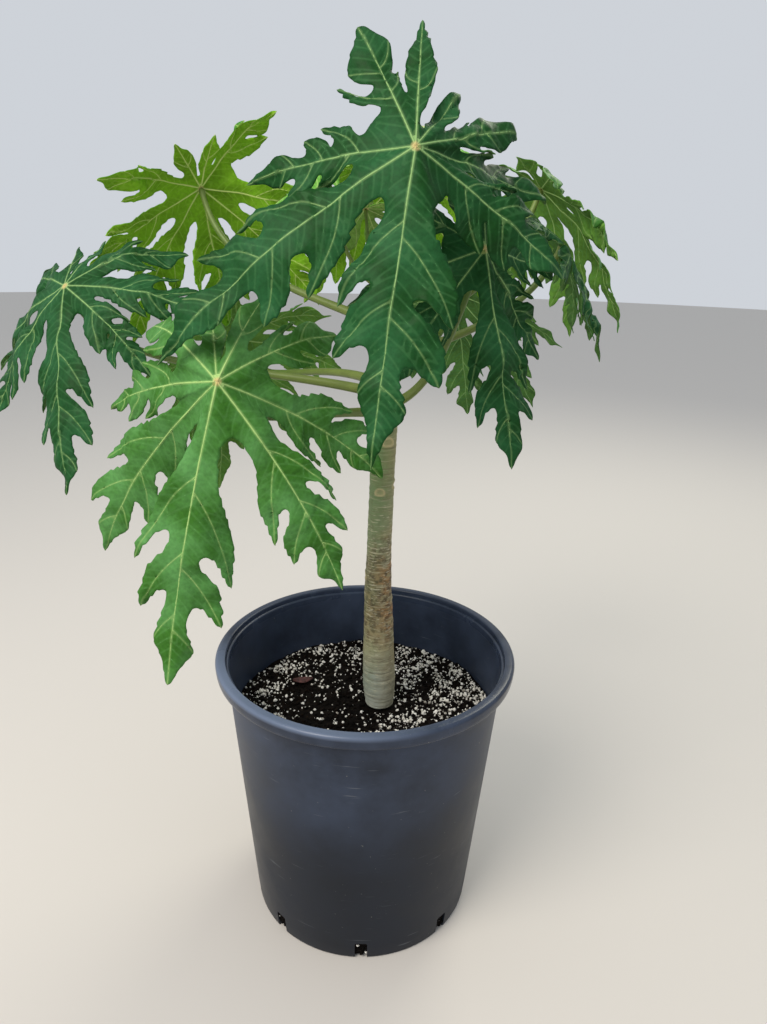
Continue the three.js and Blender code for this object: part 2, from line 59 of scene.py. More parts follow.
MM = 0.001
SOLID_GAP = 0.3  # millimetres between neighbouring solids

# Pot, mix and trunk, in metres: their ends come from the frame, the rest is as in the solids.
POT_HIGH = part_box("pot")[1]
POT_HEIGHT = POT_HIGH.z
RIM_RADIUS = POT_HIGH.x
SOIL_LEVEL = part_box("potting_mix")[1].z
TRUNK_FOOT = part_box("trunk")[0].z
TRUNK_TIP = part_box("trunk")[1].z
RIM_DROP = 0.021
WALL_TOP_RADIUS = 0.213
WALL_FOOT_RADIUS = 0.177
POT_WALL = 0.0032
POT_FLOOR = 0.004
DRAIN_SLOTS = 8
SLOT_WIDTH = 0.019
SLOT_HEIGHT = 0.032
SLOT_INWARD = 0.017
SLOT_ROUND = 0.003
CRUMBS_PER_SLOT = 40
GRAINS_PER_SLOT = 5
CRUMB_RADII = (0.0012, 0.0040)
GRAIN_RADII = (0.0007, 0.0030)
MIX_SEGMENTS = 224
MIX_RINGS = 75
# The mix stands clear of the pot: its edge from the outside of the wall.
MIX_INSET = POT_WALL + SOLID_GAP * MM

# Trunk: radius at heights above the mix, and the drift of its axis, in millimetres.
TRUNK_GIRTH = [(0, 21.5), (12, 23.8), (42, 25.6), (85, 24.2), (145, 22.4), (200, 20.4), (260, 18.2),
               (350, 17.9), (430, 18.4), (500, 18.8), (560, 17.0), (610, 13.5), (640, 9.0)]
TRUNK_AXIS = [(0, 23.4), (200, 17.0), (350, 19.2), (490, 21.5), (660, 23.0)]
# Up the trunk, in metres: where it rounds off to its tip, and the spiral of its leaf scars.
TRUNK_SHOULDER = 0.640
SCAR_HEIGHTS = (0.53, 0.80)
SCAR_STEP = 0.036
SCAR_TURN = 137.5
# Depths of slow bulges, of the raised rim of a scar and of the dip inside it.
BULGE_DEPTH = 0.0010
SCAR_RIM = 0.0009
SCAR_DIP = 0.0006
# Nothing lies on the mix nearer to the trunk's axis.
TRUNK_ROOM = 0.026

# Leaf stalks, in millimetres.
STALK_GIRTH = [(0, 7.4), (0.3, 5.4), (1, 4.0)]
YOUNG_STALK_SHARE = 0.5
STALK_POINTS = 90
# The swelling at a stalk's base: how much, how far from the trunk's axis it stays full, and over
# what length it fades. The flare at the blade: how much, and where it begins and ends before it.
STALK_SWELLING = (0.42, 18, 7)
STALK_FLARE = (0.30, 14, 3)

# Blade: nine lobes in a palm, from the midrib (rank 0) round to the hindmost pair (rank 4).
RIB_ANGLES = [0, 43, 81, 124, 163]
RIB_REACH = [1, 0.96, 0.84, 0.62, 0.36]
SINUS_REACH = [0.19, 0.21, 0.20, 0.15, 0.08]
BLADE_THICKNESS_SHARE = 0.0145
LOBE_ROOM = 0.93
VEIN_BOW = 0.2
FIRST_WAIST_BACK = 0.055
WAIST_BACK = 0.035
# Sub-lobes on each side of a lobe, by rank: where the vein leaves, its reach and lean, the
# half width of the sub-lobe, and the half width left at the waist before it.
SUB_LOBES = [
    [(0.32, 0.36, 34, 0.080, 0.078), (0.57, 0.26, 36, 0.060, 0.060), (0.78, 0.12, 36, 0, 0.044)],
    [(0.34, 0.34, 33, 0.076, 0.072), (0.58, 0.24, 35, 0.056, 0.056), (0.78, 0.11, 36, 0, 0.042)],
    [(0.36, 0.31, 34, 0.068, 0.064), (0.60, 0.21, 36, 0.050, 0.050), (0.77, 0.10, 36, 0, 0.036)],
    [(0.42, 0.27, 35, 0.052, 0.054), (0.68, 0.15, 38, 0.032, 0.042)],
    [(0.50, 0.16, 38, 0.040, 0.046)],
]
RIB_STEPS = 24
CUP_DEGREES = 9
FOLD_DEGREES = 9
MARGIN_CURL = 0.9
SIDEWAYS_BEND = 0.3
# Every second lobe droops more than its neighbours, so that it passes under them.
UNDER_DROOP = 1.35
# Where the surface that neighbouring lobes share ends, against the notch between them.
WEB_REACH = 1.7

# The crown, leaf by leaf, in millimetres and degrees. node: height on the trunk. azimuth, reach,
# height: where the blade is held. facing, tilt, spin: how it lies. droop: bend per metre.
# breadth: width of its lobes against their length. early, splay: its sub-lobes leave the rib
# nearer the stalk, and lean further out. For one lobe, turn and reach are its own angle and share
# of length, cup is how steeply it dips, branch the share of length of its sub-lobes, and notch how
# near the stalk the gap after it comes. stalk: swing and lift where it leaves the trunk, back and
# under where it meets the blade.
CROWN = [
    {"name": "front", "node": 950, "azimuth": 274, "reach": 250, "height": 1126, "facing": 260,
     "tilt": 68, "spin": 3, "length": 300, "droop": 2.5, "breadth": 1.12, "early": 0.07,
     "splay": 12, "seed": 1, "finish": "shade",
     "stalk": {"swing": -24, "lift": 0.32, "back": 0.3, "under": 0.02},
     "lobes": {-4: {"turn": -18, "reach": 1.46, "cup": 10, "notch": 0.2},
               -3: {"turn": -31, "reach": 0.84, "cup": 6, "branch": 1.35},
               -2: {"turn": -13, "reach": 0.78, "cup": 13}, -1: {"turn": -16, "reach": 1.2, "cup": 2},
               0: {"turn": -9, "reach": 1.07, "cup": 2}, 1: {"turn": 24, "reach": 0.74, "cup": 36},
               2: {"turn": 18, "reach": 0.78, "cup": 46}, 3: {"turn": -2, "reach": 0.82, "cup": 36},
               4: {"turn": -9, "reach": 0.9, "cup": 28}}},
    {"name": "low_left", "node": 812, "azimuth": 234, "reach": 308, "height": 898, "facing": 278,
     "tilt": 75, "spin": -11, "length": 320, "droop": 7, "breadth": 0.82, "seed": 2, "finish": "lit",
     "lobes": {-4: {"cup": 28}, -3: {"turn": -8, "reach": 0.9, "cup": 28}, -2: {"reach": 0.8, "cup": 42},
               -1: {"turn": 2, "cup": 44}, 0: {"turn": -6, "reach": 1.1, "cup": 2},
               1: {"turn": 5, "reach": 0.9, "cup": 8}, 2: {"reach": 0.96, "cup": 26},
               3: {"turn": 7, "reach": 0.84, "cup": 18}}},
    {"name": "far_left", "node": 838, "azimuth": 180, "reach": 424, "height": 974, "facing": 235,
     "tilt": 53, "spin": 18, "length": 265, "droop": 5, "seed": 3, "finish": "shade",
     "lobes": {-1: {"turn": -6, "reach": 0.86, "cup": 3}, 0: {"turn": 3, "reach": 1.1, "cup": 4},
               1: {"turn": 8, "reach": 0.8, "cup": 3}}},
    {"name": "right", "node": 824, "azimuth": 305, "reach": 183, "height": 1034, "facing": 290,
     "tilt": 74, "spin": 9, "length": 248, "droop": 3, "breadth": 0.9, "seed": 4, "finish": "shade",
     "stalk": {"back": 0.22, "under": 0.2},
     "lobes": {-4: {"turn": -5}, -3: {"turn": -10, "reach": 0.74, "cup": 14},
               -2: {"reach": 0.8, "cup": 14}, -1: {"reach": 0.85, "cup": 30}, 0: {"cup": 4},
               1: {"reach": 0.85, "cup": 36}, 2: {"reach": 0.85, "cup": 28}, 3: {"cup": 24}}},
    {"name": "upper_left", "node": 930, "azimuth": 145, "reach": 342, "height": 1106, "facing": 128,
     "tilt": 50, "spin": -22, "length": 285, "droop": 3, "seed": 5, "finish": "backlit",
     "lobes": {-4: {"cup": 2}, -3: {"turn": -14, "reach": 0.94, "cup": 0}, -2: {"cup": 24},
               -1: {"cup": 20}, 3: {"cup": 3}, 4: {"cup": 2}}},
    {"name": "back", "node": 905, "azimuth": 86, "reach": 300, "height": 1128, "facing": 86, "tilt": 38,
     "spin": 4, "length": 280, "droop": 3.5, "seed": 6, "finish": "backlit"},
    {"name": "back_right", "node": 918, "azimuth": 30, "reach": 250, "height": 1112, "facing": 28,
     "tilt": 44, "spin": 3, "length": 240, "droop": 5, "seed": 8, "finish": "lit"},
    {"name": "right_side", "node": 890, "azimuth": 3, "reach": 230, "height": 1040, "facing": 356,
     "tilt": 50, "spin": -5, "length": 165, "droop": 5, "seed": 7, "finish": "shade"},
    {"name": "low_back_left", "node": 850, "azimuth": 136, "reach": 350, "height": 880, "facing": 136,
     "tilt": 62, "spin": 0, "length": 280, "droop": 4, "seed": 9, "finish": "lit"},
    {"name": "low_back_right", "node": 861, "azimuth": 68, "reach": 320, "height": 955, "facing": 62,
     "tilt": 54, "spin": 0, "length": 250, "droop": 3, "breadth": 0.9, "seed": 10, "finish": "shade"},
    {"name": "young_low", "node": 968, "azimuth": 110, "reach": 95, "height": 1080, "facing": 110,
     "tilt": 24, "spin": 10, "length": 120, "droop": 4, "seed": 12, "young": True, "finish": "young"},
    {"name": "young_mid", "node": 978, "azimuth": 200, "reach": 85, "height": 1125, "facing": 200,
     "tilt": 26, "spin": -6, "length": 105, "droop": 4, "seed": 13, "young": True, "finish": "young"},
    {"name": "young_top", "node": 988, "azimuth": 330, "reach": 45, "height": 1170, "facing": 330,
     "tilt": 20, "spin": 5, "length": 85, "droop": 4, "seed": 14, "young": True, "finish": "young"},
]

# Leaf finishes: upper side, its patches of painted sky reflection (on lit leaves also painted sun), under
# side, main veins, and fine veins.
# The shade, lit and backlit finishes are one leaf painted in shade, in sunlight and with light shining
# through it; young is a young leaf's own paler green.
LEAF_FINISHES = {
    "shade": ("#143f17", "#23552f", "#4e783a", "#85a96b", "#477a4a"),
    "lit": ("#366822", "#53894a", "#66963e", "#9fc176", "#5f9453"),
    "backlit": ("#44832a", "#4f8f34", "#82bb28", "#d0e488", "#97c446"),
    "young": ("#5c9a36", "#68a344", "#88b854", "#c5da90", "#98c46c"),
}

# Fine detail of a blade: how much fuller than the solid's its lobes are, how blunt their tips,
# the spacing of its teeth in millimetres, and the shares of a tooth that rise and fall.
FULLNESS = 1.18
BLUNTNESS = -0.45
TOOTH_SPACING = 14.0
TOOTH_RISE = 0.78
TOOTH_FALL = 0.22
# Fine veins: their spacing and the shortest, in millimetres, their lean on a rib and on a
# sub-lobe's vein, in degrees, how much of the way to the next line they run, and their bow.
VEIN_SPACING = 12.0
VEIN_SHORTEST = 7
VEIN_LEANS = (52, 48)
VEIN_RUN = 0.88
FINE_VEIN_BOW = 0.16
# Mesh of a blade, in steps: the room its inner points leave at the margin and at the veins, and
# how far they are shaken off their grid.
MESH_ROOM = 0.62
MESH_SHAKE = 0.14
# Half widths of the veins at both ends, in millimetres, on a leaf of the given length, and how far
# they stand out above and below the blade, against their half width.
RIB_HALF_WIDTHS = (1.25, 0.28)
SUB_RIB_HALF_WIDTHS = (0.46, 0.17)
FINE_HALF_WIDTHS = (0.36, 0.16)
VEIN_WIDTHS_LENGTH = 310
VEIN_RISE_ABOVE = 0.3
VEIN_RISE_BELOW = 0.8
# Relief of a blade, in millimetres: how far the quilting takes to rise from a rib or a fine vein,
# the length of a ruffle and how far it reaches in from the margin, and the length of a slow wave.
QUILT_RUN = (6, 3)
RUFFLE_LENGTH = 34
RUFFLE_REACH = 16
WAVE_LENGTH = 48
# A young leaf against a grown one: its mesh step, tooth depth, vein spacing and vein widths.
YOUNG_STEP_SHARE = 0.7
YOUNG_TOOTH_SHARE = 0.5
YOUNG_SPACING_SHARE = 0.6
YOUNG_VEIN_SHARE = 0.45
# What the attribute rib_gap holds on the raised veins, where it is no gap.
RIB_MARK = -1.0
FINE_MARK = -2.0
WAX_IOR = 1.42

# Stage, in metres and degrees, and the camera's lens and sensor in millimetres. A light is its
# place, width, share of the key's power and colour.
LIGHTS = {
    "key": ((-1.7, -1.9, 3.1), 2.2, 1.0, "#fff6ea"),
    "back": ((1.4, 2.2, 2.9), 1.8, 0.38, "#fffbe9"),
}
LIGHTS_AIM = (0, 0, 0.75)
CAMERA_PLACE = (0, -1.0491, 1.0451)
CAMERA_PITCH = 19.87
CAMERA_YAW = 1.247
CAMERA_ROLL = 1.342
CAMERA_LENS = 26.87
CAMERA_SENSOR = 36
FLOOR_RADIUS = 14


def radians(degrees):
    return degrees * math.pi / 180


def wobble(seed, counter):
    """A repeatable offset between -1 and 1 for a leaf's seed and a counter."""
    value = math.sin(seed * 12.9898 + counter * 78.233) * 43758.5453
    return 2 * (value - math.floor(value)) - 1


def smooth_step(low, high, value):
    """From 0 at low to 1 at high, level at both ends."""
    share = np.clip((value - low) / (high - low), 0, 1)
    return share * share * (3 - 2 * share)


def read_along(rows, position):
    """Linear interpolation in a list of (place, value) rows, past the ends on the last slope."""
    upper = next((index for index, row in enumerate(rows) if row[0] >= position), len(rows) - 1)
    upper = max(upper, 1)
    low, high = rows[upper - 1], rows[upper]
    return low[1] + (high[1] - low[1]) * (position - low[0]) / (high[0] - low[0])


def trunk_axis_x(height):
    """The trunk's axis at a height, both in millimetres."""
    return read_along(TRUNK_AXIS, height - SOIL_LEVEL / MM)


def unit(vectors):
    """The vectors at a length of one."""
    return vectors / np.maximum(np.linalg.norm(vectors, axis=-1, keepdims=True), 1e-12)


def reach_along(line):
    """The length of a polyline up to each of its points."""
    return np.concatenate([[0], np.cumsum(np.linalg.norm(np.diff(line, axis=0), axis=1))])


def points_at(line, reach, places):
    """Points of a polyline at given lengths along it."""
    return np.stack([np.interp(places, reach, column) for column in line.T], axis=-1)


def search_tree(points):
    """Finds the nearest of the given points, which may be flat."""
    tree = KDTree(len(points))
    for index, point in enumerate(points):
        tree.insert((*point, 0)[:3], index)
    tree.balance()
    return tree


def linear(hex_colour, alpha=1.0):
    """An sRGB hex colour as a linear one."""
    channels = [int(hex_colour[index:index + 2], 16) / 255 for index in (1, 3, 5)]
    return [c / 12.92 if c <= 0.04045 else ((c + 0.055) / 1.055) ** 2.4 for c in channels] + [alpha]


def add_node(tree, kind, inputs=None, ramp=None, **settings):
    """Adds a node with its settings; inputs are values or sockets by name or number."""
    made = tree.nodes.new(kind)
    for name, value in settings.items():
        setattr(made, name, value)
    for key, value in (inputs or {}).items():
        if isinstance(value, bpy.types.NodeSocket):
            tree.links.new(value, made.inputs[key])
        else:
            made.inputs[key].default_value = value
    for index, (position, colour) in enumerate(ramp or []):
        elements = made.color_ramp.elements
        element = elements[index] if index < len(elements) else elements.new(position)
        element.position = position
        element.color = colour
    return made


def new_material(name):
    """An empty material, and its node tree."""
    material = bpy.data.materials.new(name)
    material.use_nodes = True
    material.node_tree.nodes.clear()
    return material, material.node_tree


def close_material(tree, surface, **sockets):
    """Adds the surface shader with its sockets, and the output."""
    shader = add_node(tree, "ShaderNodeBsdfPrincipled", {**surface, **sockets})
    add_node(tree, "ShaderNodeOutputMaterial", {"Surface": shader.outputs[0]})


def mesh_piece(name, points, faces, material, smooth=True):
    """An object at the origin whose mesh holds the given points, in metres, and faces."""
    mesh = bpy.data.meshes.new(name)
    mesh.from_pydata(points, [], faces)
    mesh.materials.append(material)
    mesh.polygons.foreach_set("use_smooth", [smooth] * len(mesh.polygons))
    mesh.update()
    piece = bpy.data.objects.new(name, mesh)
    bpy.context.scene.collection.objects.link(piece)
    return piece


def add_attribute(mesh, name, kind, values):
    """Stores one value for each point of a mesh."""
    attribute = mesh.attributes.new(name, kind, "POINT")
    field = "vector" if kind == "FLOAT_VECTOR" else "value"
    attribute.data.foreach_set(field, np.asarray(values, np.float32).ravel())


def select_only(piece):
    bpy.ops.object.select_all(action="DESELECT")
    piece.select_set(True)
    bpy.context.view_layer.objects.active = piece


def weld_and_face_out():
    """In edit mode, merges doubles and turns the faces outwards, then leaves edit mode."""
    bpy.ops.mesh.select_all(action="SELECT")
    bpy.ops.mesh.remove_doubles(threshold=1e-6)
    bpy.ops.mesh.normals_make_consistent(inside=False)
    bpy.ops.object.mode_set(mode="OBJECT")


def spun_piece(name, profile, steps, material):
    """Draws a profile of (radius, height) point by point and spins it round the upright axis."""
    bpy.ops.object.select_all(action="DESELECT")
    bpy.ops.mesh.primitive_plane_add(size=0.01)
    piece = bpy.context.object
    piece.name = piece.data.name = name
    bpy.ops.object.mode_set(mode="EDIT")
    bpy.ops.mesh.select_mode(type="VERT")
    bpy.ops.mesh.merge(type="CENTER")
    here = Vector((0, 0, 0))
    start = Vector((profile[0][0], 0, profile[0][1]))
    bpy.ops.transform.translate(value=start - here)
    here = start
    for radius, height in profile[1:]:
        there = Vector((radius, 0, height))
        bpy.ops.mesh.extrude_region_move(TRANSFORM_OT_translate={"value": there - here})
        here = there
    bpy.ops.mesh.select_all(action="SELECT")
    bpy.ops.mesh.spin(steps=steps, angle=2 * math.pi, center=(0, 0, 0), axis=(0, 0, 1))
    weld_and_face_out()
    piece.data.materials.append(material)
    return piece


def finish_piece(piece, slot, *nodes):
    """The piece rides on the plant's one body and stands for its solids; its slot is not used."""
    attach(piece, "root")
    if nodes:
        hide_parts(*nodes)


# Leaf geometry, by the rule that the solids are grown by.


def blade_seat(leaf):
    """Where and how a blade is held: its centre, the midrib's way, the way across, the upper side."""
    azimuth, facing, tilt, spin = (radians(leaf[key]) for key in ("azimuth", "facing", "tilt", "spin"))
    centre = np.array([trunk_axis_x(leaf["node"]) + leaf["reach"] * math.cos(azimuth),
                       leaf["reach"] * math.sin(azimuth), leaf["height"]])
    upper = np.array([math.cos(facing) * math.sin(tilt), math.sin(facing) * math.sin(tilt),
                      math.cos(tilt)])
    slope = np.array([math.cos(facing) * math.cos(tilt), math.sin(facing) * math.cos(tilt),
                      -math.sin(tilt)])
    midrib = slope * math.cos(spin) + np.cross(upper, slope) * math.sin(spin)
    return centre, midrib, np.cross(upper, midrib), upper


def lobes_of(leaf):
    """The nine lobes in order round the leaf, each with its rank, angle, length and cup."""
    lobes = []
    for place in range(-4, 5):
        rank = abs(place)
        own = leaf.get("lobes", {}).get(place, {})
        angle = math.copysign(RIB_ANGLES[rank], place) if place else 0
        angle += own.get("turn", 0) + 2 * wobble(leaf["seed"], place + 10)
        share = own.get("reach", 1) * RIB_REACH[rank] * (1 + 0.04 * wobble(leaf["seed"], place + 20))
        lobes.append({"rank": rank, "angle": radians(angle), "length": leaf["length"] * share,
                      "cup": radians(own.get("cup", CUP_DEGREES)), "branch": own.get("branch", 1),
                      "notch": own.get("notch")})
    return lobes


def bend_rib(leaf, seat, lobe, place):
    """A rib as a row of stations, which starts in the blade's plane and bends towards the ground."""
    centre, midrib, across, upper = seat
    flat = midrib * math.cos(lobe["angle"]) + across * math.sin(lobe["angle"])
    way = flat * math.cos(lobe["cup"]) - upper * math.sin(lobe["cup"])
    side = across * math.cos(lobe["angle"]) - midrib * math.sin(lobe["angle"])
    step = 1.05 * lobe["length"] / RIB_STEPS
    under = UNDER_DROOP if lobe["rank"] % 2 else 1
    bend = leaf["droop"] / 1000 * under * (1 + 0.15 * wobble(leaf["seed"], place + 30))
    down = np.array([0.0, 0.0, -1.0])
    point = centre.copy()
    points, sides, uppers = [], [], []
    for index in range(RIB_STEPS + 1):
        normal = np.cross(way, side)
        points.append(point.copy())
        sides.append(side.copy())
        uppers.append(normal)
        point = point + way * step
        turn = bend * step * (0.35 + 1.3 * index / RIB_STEPS)
        way = unit(way + normal * (turn * down @ normal) + side * (SIDEWAYS_BEND * turn * down @ side))
        side = unit(side - way * (side @ way))
    return {"points": np.array(points), "sides": np.array(sides), "uppers": np.array(uppers), "step": step}


def place_on_rib(leaf, rib, along, across):
    """Points of a lobe, along its rib and across it, with a shallow ridge at the rib."""
    place = np.clip(along / rib["step"], 0, RIB_STEPS - 1e-6)
    index = place.astype(int)
    share = (place - index)[:, None]
    point, side, upper = (rib[key][index] * (1 - share) + rib[key][index + 1] * share
                          for key in ("points", "sides", "uppers"))
    fold = radians(FOLD_DEGREES) * smooth_step(0, 0.25 * leaf["length"], along)
    curl = MARGIN_CURL * across * across / leaf["length"]
    sink = np.abs(across) * np.sin(fold) + curl
    return point + side * (across * np.cos(fold))[:, None] - upper * sink[:, None]


def lobe_size(leaf, lobe):
    """A lobe cut short is slimmer in proportion."""
    return min(leaf["length"], lobe["length"] / RIB_REACH[lobe["rank"]])


def sub_lobe_start(leaf, lobe, index, stagger, notch):
    """Where a sub-lobe's vein leaves the rib, and where the waist before it lies."""
    size = lobe_size(leaf, lobe)
    share = SUB_LOBES[lobe["rank"]][index][0] + stagger - leaf.get("early", 0)
    at = max(lobe["length"] * share, notch + 0.03 * size)
    back = WAIST_BACK if index > 0 else FIRST_WAIST_BACK
    return at, max(at - back * size, notch + 0.02 * size)


def beside_vein(at, reach, lean, share, offset):
    """A point beside a sub-lobe's vein, which leaves the rib steeply and bows towards the tip."""
    turn = lean + VEIN_BOW * (1 - share)
    heading = lean + VEIN_BOW * (0.6 - 2 * share)
    return np.array([at + share * reach * np.cos(turn) - offset * np.sin(heading),
                     share * reach * np.sin(turn) + offset * np.cos(heading)])


def lobe_side(leaf, lobe, side, place, notch, room):
    """One side of a lobe: its edge points from the first waist to the tip, and its sub-lobes' veins."""
    size = lobe_size(leaf, lobe)
    breadth = leaf.get("breadth", 1) * size * FULLNESS
    stagger = 0.025 * side * (1 if place % 2 == 0 else -1)
    rows = SUB_LOBES[lobe["rank"]][:1] if leaf.get("young") else SUB_LOBES[lobe["rank"]]
    starts = [sub_lobe_start(leaf, lobe, index, stagger, notch) for index in range(len(rows))]

    def squeezed(point):
        radius = math.hypot(*point)
        turn = room * math.tanh(math.atan2(point[1], point[0]) / room)
        return np.array([radius * math.cos(turn), radius * math.sin(turn)])

    edge, veins = [], []
    for index, (_, reach_share, lean_degrees, wide, neck) in enumerate(rows):
        counter = place * 8 + side * 4 + index
        at, waist = starts[index]
        reach = reach_share * math.sqrt(size * lobe["length"]) * lobe["branch"]
        reach *= 1 + 0.1 * wobble(leaf["seed"], counter + 50)
        lean = radians(lean_degrees + leaf.get("splay", 0) + 4 * wobble(leaf["seed"], counter + 70))
        tip = beside_vein(at, reach, lean, 1, 0)
        if index == 0:
            edge.append((squeezed([waist, neck * breadth]), None))
        if wide:
            edge.append((squeezed(beside_vein(at, reach, lean, 0.55, wide * breadth)), None))
        shares = np.linspace(0, 1, 9)
        vein = np.array([squeezed(beside_vein(at, reach, lean, share, 0)) for share in shares])
        vein[0] = (at, 0)
        veins.append(vein)
        edge.append((squeezed(tip), unit(vein[-1] - vein[-3])))
        if index < len(rows) - 1:
            inner = beside_vein(at, reach, lean, 0.6, -0.9 * wide * breadth)
            next_waist = starts[index + 1][1]
            edge.append((squeezed([min(inner[0], next_waist - 0.012 * size), inner[1]]), None))
            edge.append((squeezed([next_waist, rows[index + 1][4] * breadth]), None))
        else:
            last = [tip[0] + 0.45 * (lobe["length"] - tip[0]), 0.4 * tip[1]]
            edge.append((squeezed(last), None))
    edge.append((np.array([lobe["length"], 0.0]), np.array([1.0, 0.0])))
    return edge, veins


def smooth_edge(edge, notch, half_gap, seed, step, tooth):
    """The fine margin of one side of a lobe: curves between its points, sharp at the tips, with teeth."""
    points = [notch] + [point for point, _ in edge]
    leads = [None] + [lead for _, lead in edge]
    outline = [notch[None, :]]
    chords = [unit(points[i + 1] - points[i]) for i in range(len(points) - 1)]
    leaving = [np.array([math.sin(half_gap), -math.cos(half_gap)])]
    arriving = [None]
    for index in range(1, len(points)):
        last = index == len(points) - 1
        after = chords[index] if not last else chords[index - 1]
        if leads[index] is None:
            both = unit(chords[index - 1] + after)
            arriving.append(both)
            leaving.append(both)
        else:
            point_share = BLUNTNESS + 0.2 * wobble(seed, index)
            arriving.append(unit(chords[index - 1] * (1 - point_share) + leads[index] * point_share))
            leaving.append(unit(after * (1 - point_share) - leads[index] * point_share))
    for index in range(len(points) - 1):
        start, end = points[index], points[index + 1]
        length = np.linalg.norm(end - start)
        count = max(2, int(math.ceil(1.08 * length / step)))
        t = (np.arange(1, count + 1) / count)[:, None]
        curve = ((2 * t**3 - 3 * t**2 + 1) * start + (t**3 - 2 * t**2 + t) * length * leaving[index]
                 + (3 * t**2 - 2 * t**3) * end + (t**3 - t**2) * length * arriving[index + 1])
        teeth = max(1, round(length / TOOTH_SPACING))
        phase = (t[:, 0] * teeth) % 1
        towards_tip = leads[index + 1] is not None
        saw = np.where(phase < TOOTH_RISE, phase / TOOTH_RISE, (1 - phase) / TOOTH_FALL)
        if not towards_tip:
            saw = saw[::-1]
        window = np.sin(math.pi * t[:, 0]) ** 0.6
        size = tooth * min(1, length / 45) * (1 + 0.5 * wobble(seed, index + 40))
        across = np.column_stack([-np.gradient(curve[:, 1]), np.gradient(curve[:, 0])])
        if length > 0.8 * TOOTH_SPACING:
            curve = curve + unit(across) * (size * window * (saw - 0.35))[:, None]
        outline.append(curve)
    outline = np.concatenate(outline)
    radius = np.hypot(outline[:, 0], outline[:, 1])
    turn = np.clip(np.arctan2(outline[:, 1], outline[:, 0]), 0, 0.97 * half_gap)
    turn[0] = half_gap
    turn[-1] = 0
    return np.column_stack([radius * np.cos(turn), radius * np.sin(turn)])


def first_hit(start, way, segments):
    """How far a ray from start runs before it meets a segment."""
    origin, along = segments[:, 0], segments[:, 1] - segments[:, 0]
    cross = way[0] * along[:, 1] - way[1] * along[:, 0]
    gap = origin - start
    with np.errstate(divide="ignore", invalid="ignore"):
        far = (gap[:, 0] * along[:, 1] - gap[:, 1] * along[:, 0]) / cross
        share = (gap[:, 0] * way[1] - gap[:, 1] * way[0]) / cross
    ahead = (far > 1.5) & (share >= 0) & (share <= 1)
    return far[ahead].min() if ahead.any() else 0


def side_veins(vein, sides, lean, spacing, walls, seed):
    """Fine veins that leave a vein at a spacing, bowed towards its tip, and stop before the walls.

    Each one joins the walls, so that no later vein runs into it."""
    reach = reach_along(vein)
    found = []
    for side in sides:
        place = spacing * (1.0 + 0.3 * wobble(seed, side * 5))
        counter = 0
        while place < reach[-1] - 0.5 * spacing:
            start = points_at(vein, reach, place)
            way = unit(points_at(vein, reach, place + 2) - start)
            turn = side * (lean + 0.10 * wobble(seed, counter + 90) - 0.15 * place / reach[-1])
            heading = np.array([way[0] * math.cos(turn) - way[1] * math.sin(turn),
                                way[0] * math.sin(turn) + way[1] * math.cos(turn)])
            far = VEIN_RUN * first_hit(start + heading * 0.5, heading, np.concatenate(walls))
            if far > VEIN_SHORTEST:
                t = np.linspace(0, 1, max(4, int(far / 4)))[:, None]
                bow = np.array([heading[1], -heading[0]]) * side
                line = start + heading * far * t - bow * (FINE_VEIN_BOW * far * t * (1 - t))
                found.append(line)
                walls.append(np.stack([line[:-1], line[1:]], axis=1)[1:])
            place += spacing * (1 + 0.25 * wobble(seed, counter + 60))
            counter += 1
    return found


def in_plan(lobe, side, points):
    """Points of one side of a lobe, in the plan of the whole leaf."""
    along, across = points[:, 0], side * points[:, 1]
    cosine, sine = math.cos(lobe["angle"]), math.sin(lobe["angle"])
    return np.column_stack([along * cosine - across * sine, along * sine + across * cosine])


def points_inside(outline, step, seed):
    """A slightly shaken triangular grid of points inside a closed outline, row by row."""
    rng = np.random.default_rng(seed)
    start, end = outline, np.roll(outline, -1, axis=0)
    found = []
    heights = np.arange(outline[:, 1].min() + 0.3 * step, outline[:, 1].max(), step * math.sqrt(0.75))
    for row, height in enumerate(heights):
        crosses = (start[:, 1] <= height) != (end[:, 1] <= height)
        low, high = start[crosses], end[crosses]
        cuts = np.sort(low[:, 0] + (height - low[:, 1]) * (high[:, 0] - low[:, 0]) / (high[:, 1] - low[:, 1]))
        for left, right in zip(cuts[::2], cuts[1::2]):
            shift = 0.5 * step * (row % 2)
            columns = np.arange(math.ceil((left - shift) / step), math.floor((right - shift) / step) + 1)
            found.append(np.column_stack([columns * step + shift, np.full(len(columns), height)]))
    grid = np.concatenate(found)
    return grid + rng.uniform(-MESH_SHAKE, MESH_SHAKE, grid.shape) * step


def resampled(line, step):
    """A polyline with even steps no longer than the given one, its ends kept."""
    reach = reach_along(line)
    count = max(1, int(math.ceil(reach[-1] / step)))
    return points_at(line, reach, np.linspace(0, reach[-1], count + 1))


def distance_to_lines(points, lines, widths):
    """For each point, the gap to the nearest line's edge, where a line narrows between two widths."""
    best = np.full(len(points), 1e3)
    for line, (first, last) in zip(lines, widths):
        low, along = line[:-1], np.diff(line, axis=0)
        length = np.maximum((along**2).sum(1), 1e-9)
        near = np.flatnonzero((np.abs(points - line.mean(0)).max(1)) < 14 + np.abs(line - line.mean(0)).max())
        if not len(near):
            continue
        gap = points[near][:, None] - low[None]
        share = np.clip((gap * along).sum(2) / length, 0, 1)
        far = np.linalg.norm(gap - share[..., None] * along, axis=2)
        place = (np.arange(len(low)) + share) / len(low)
        best[near] = np.minimum(best[near], (far - (first + (last - first) * place)).min(1))
    return best


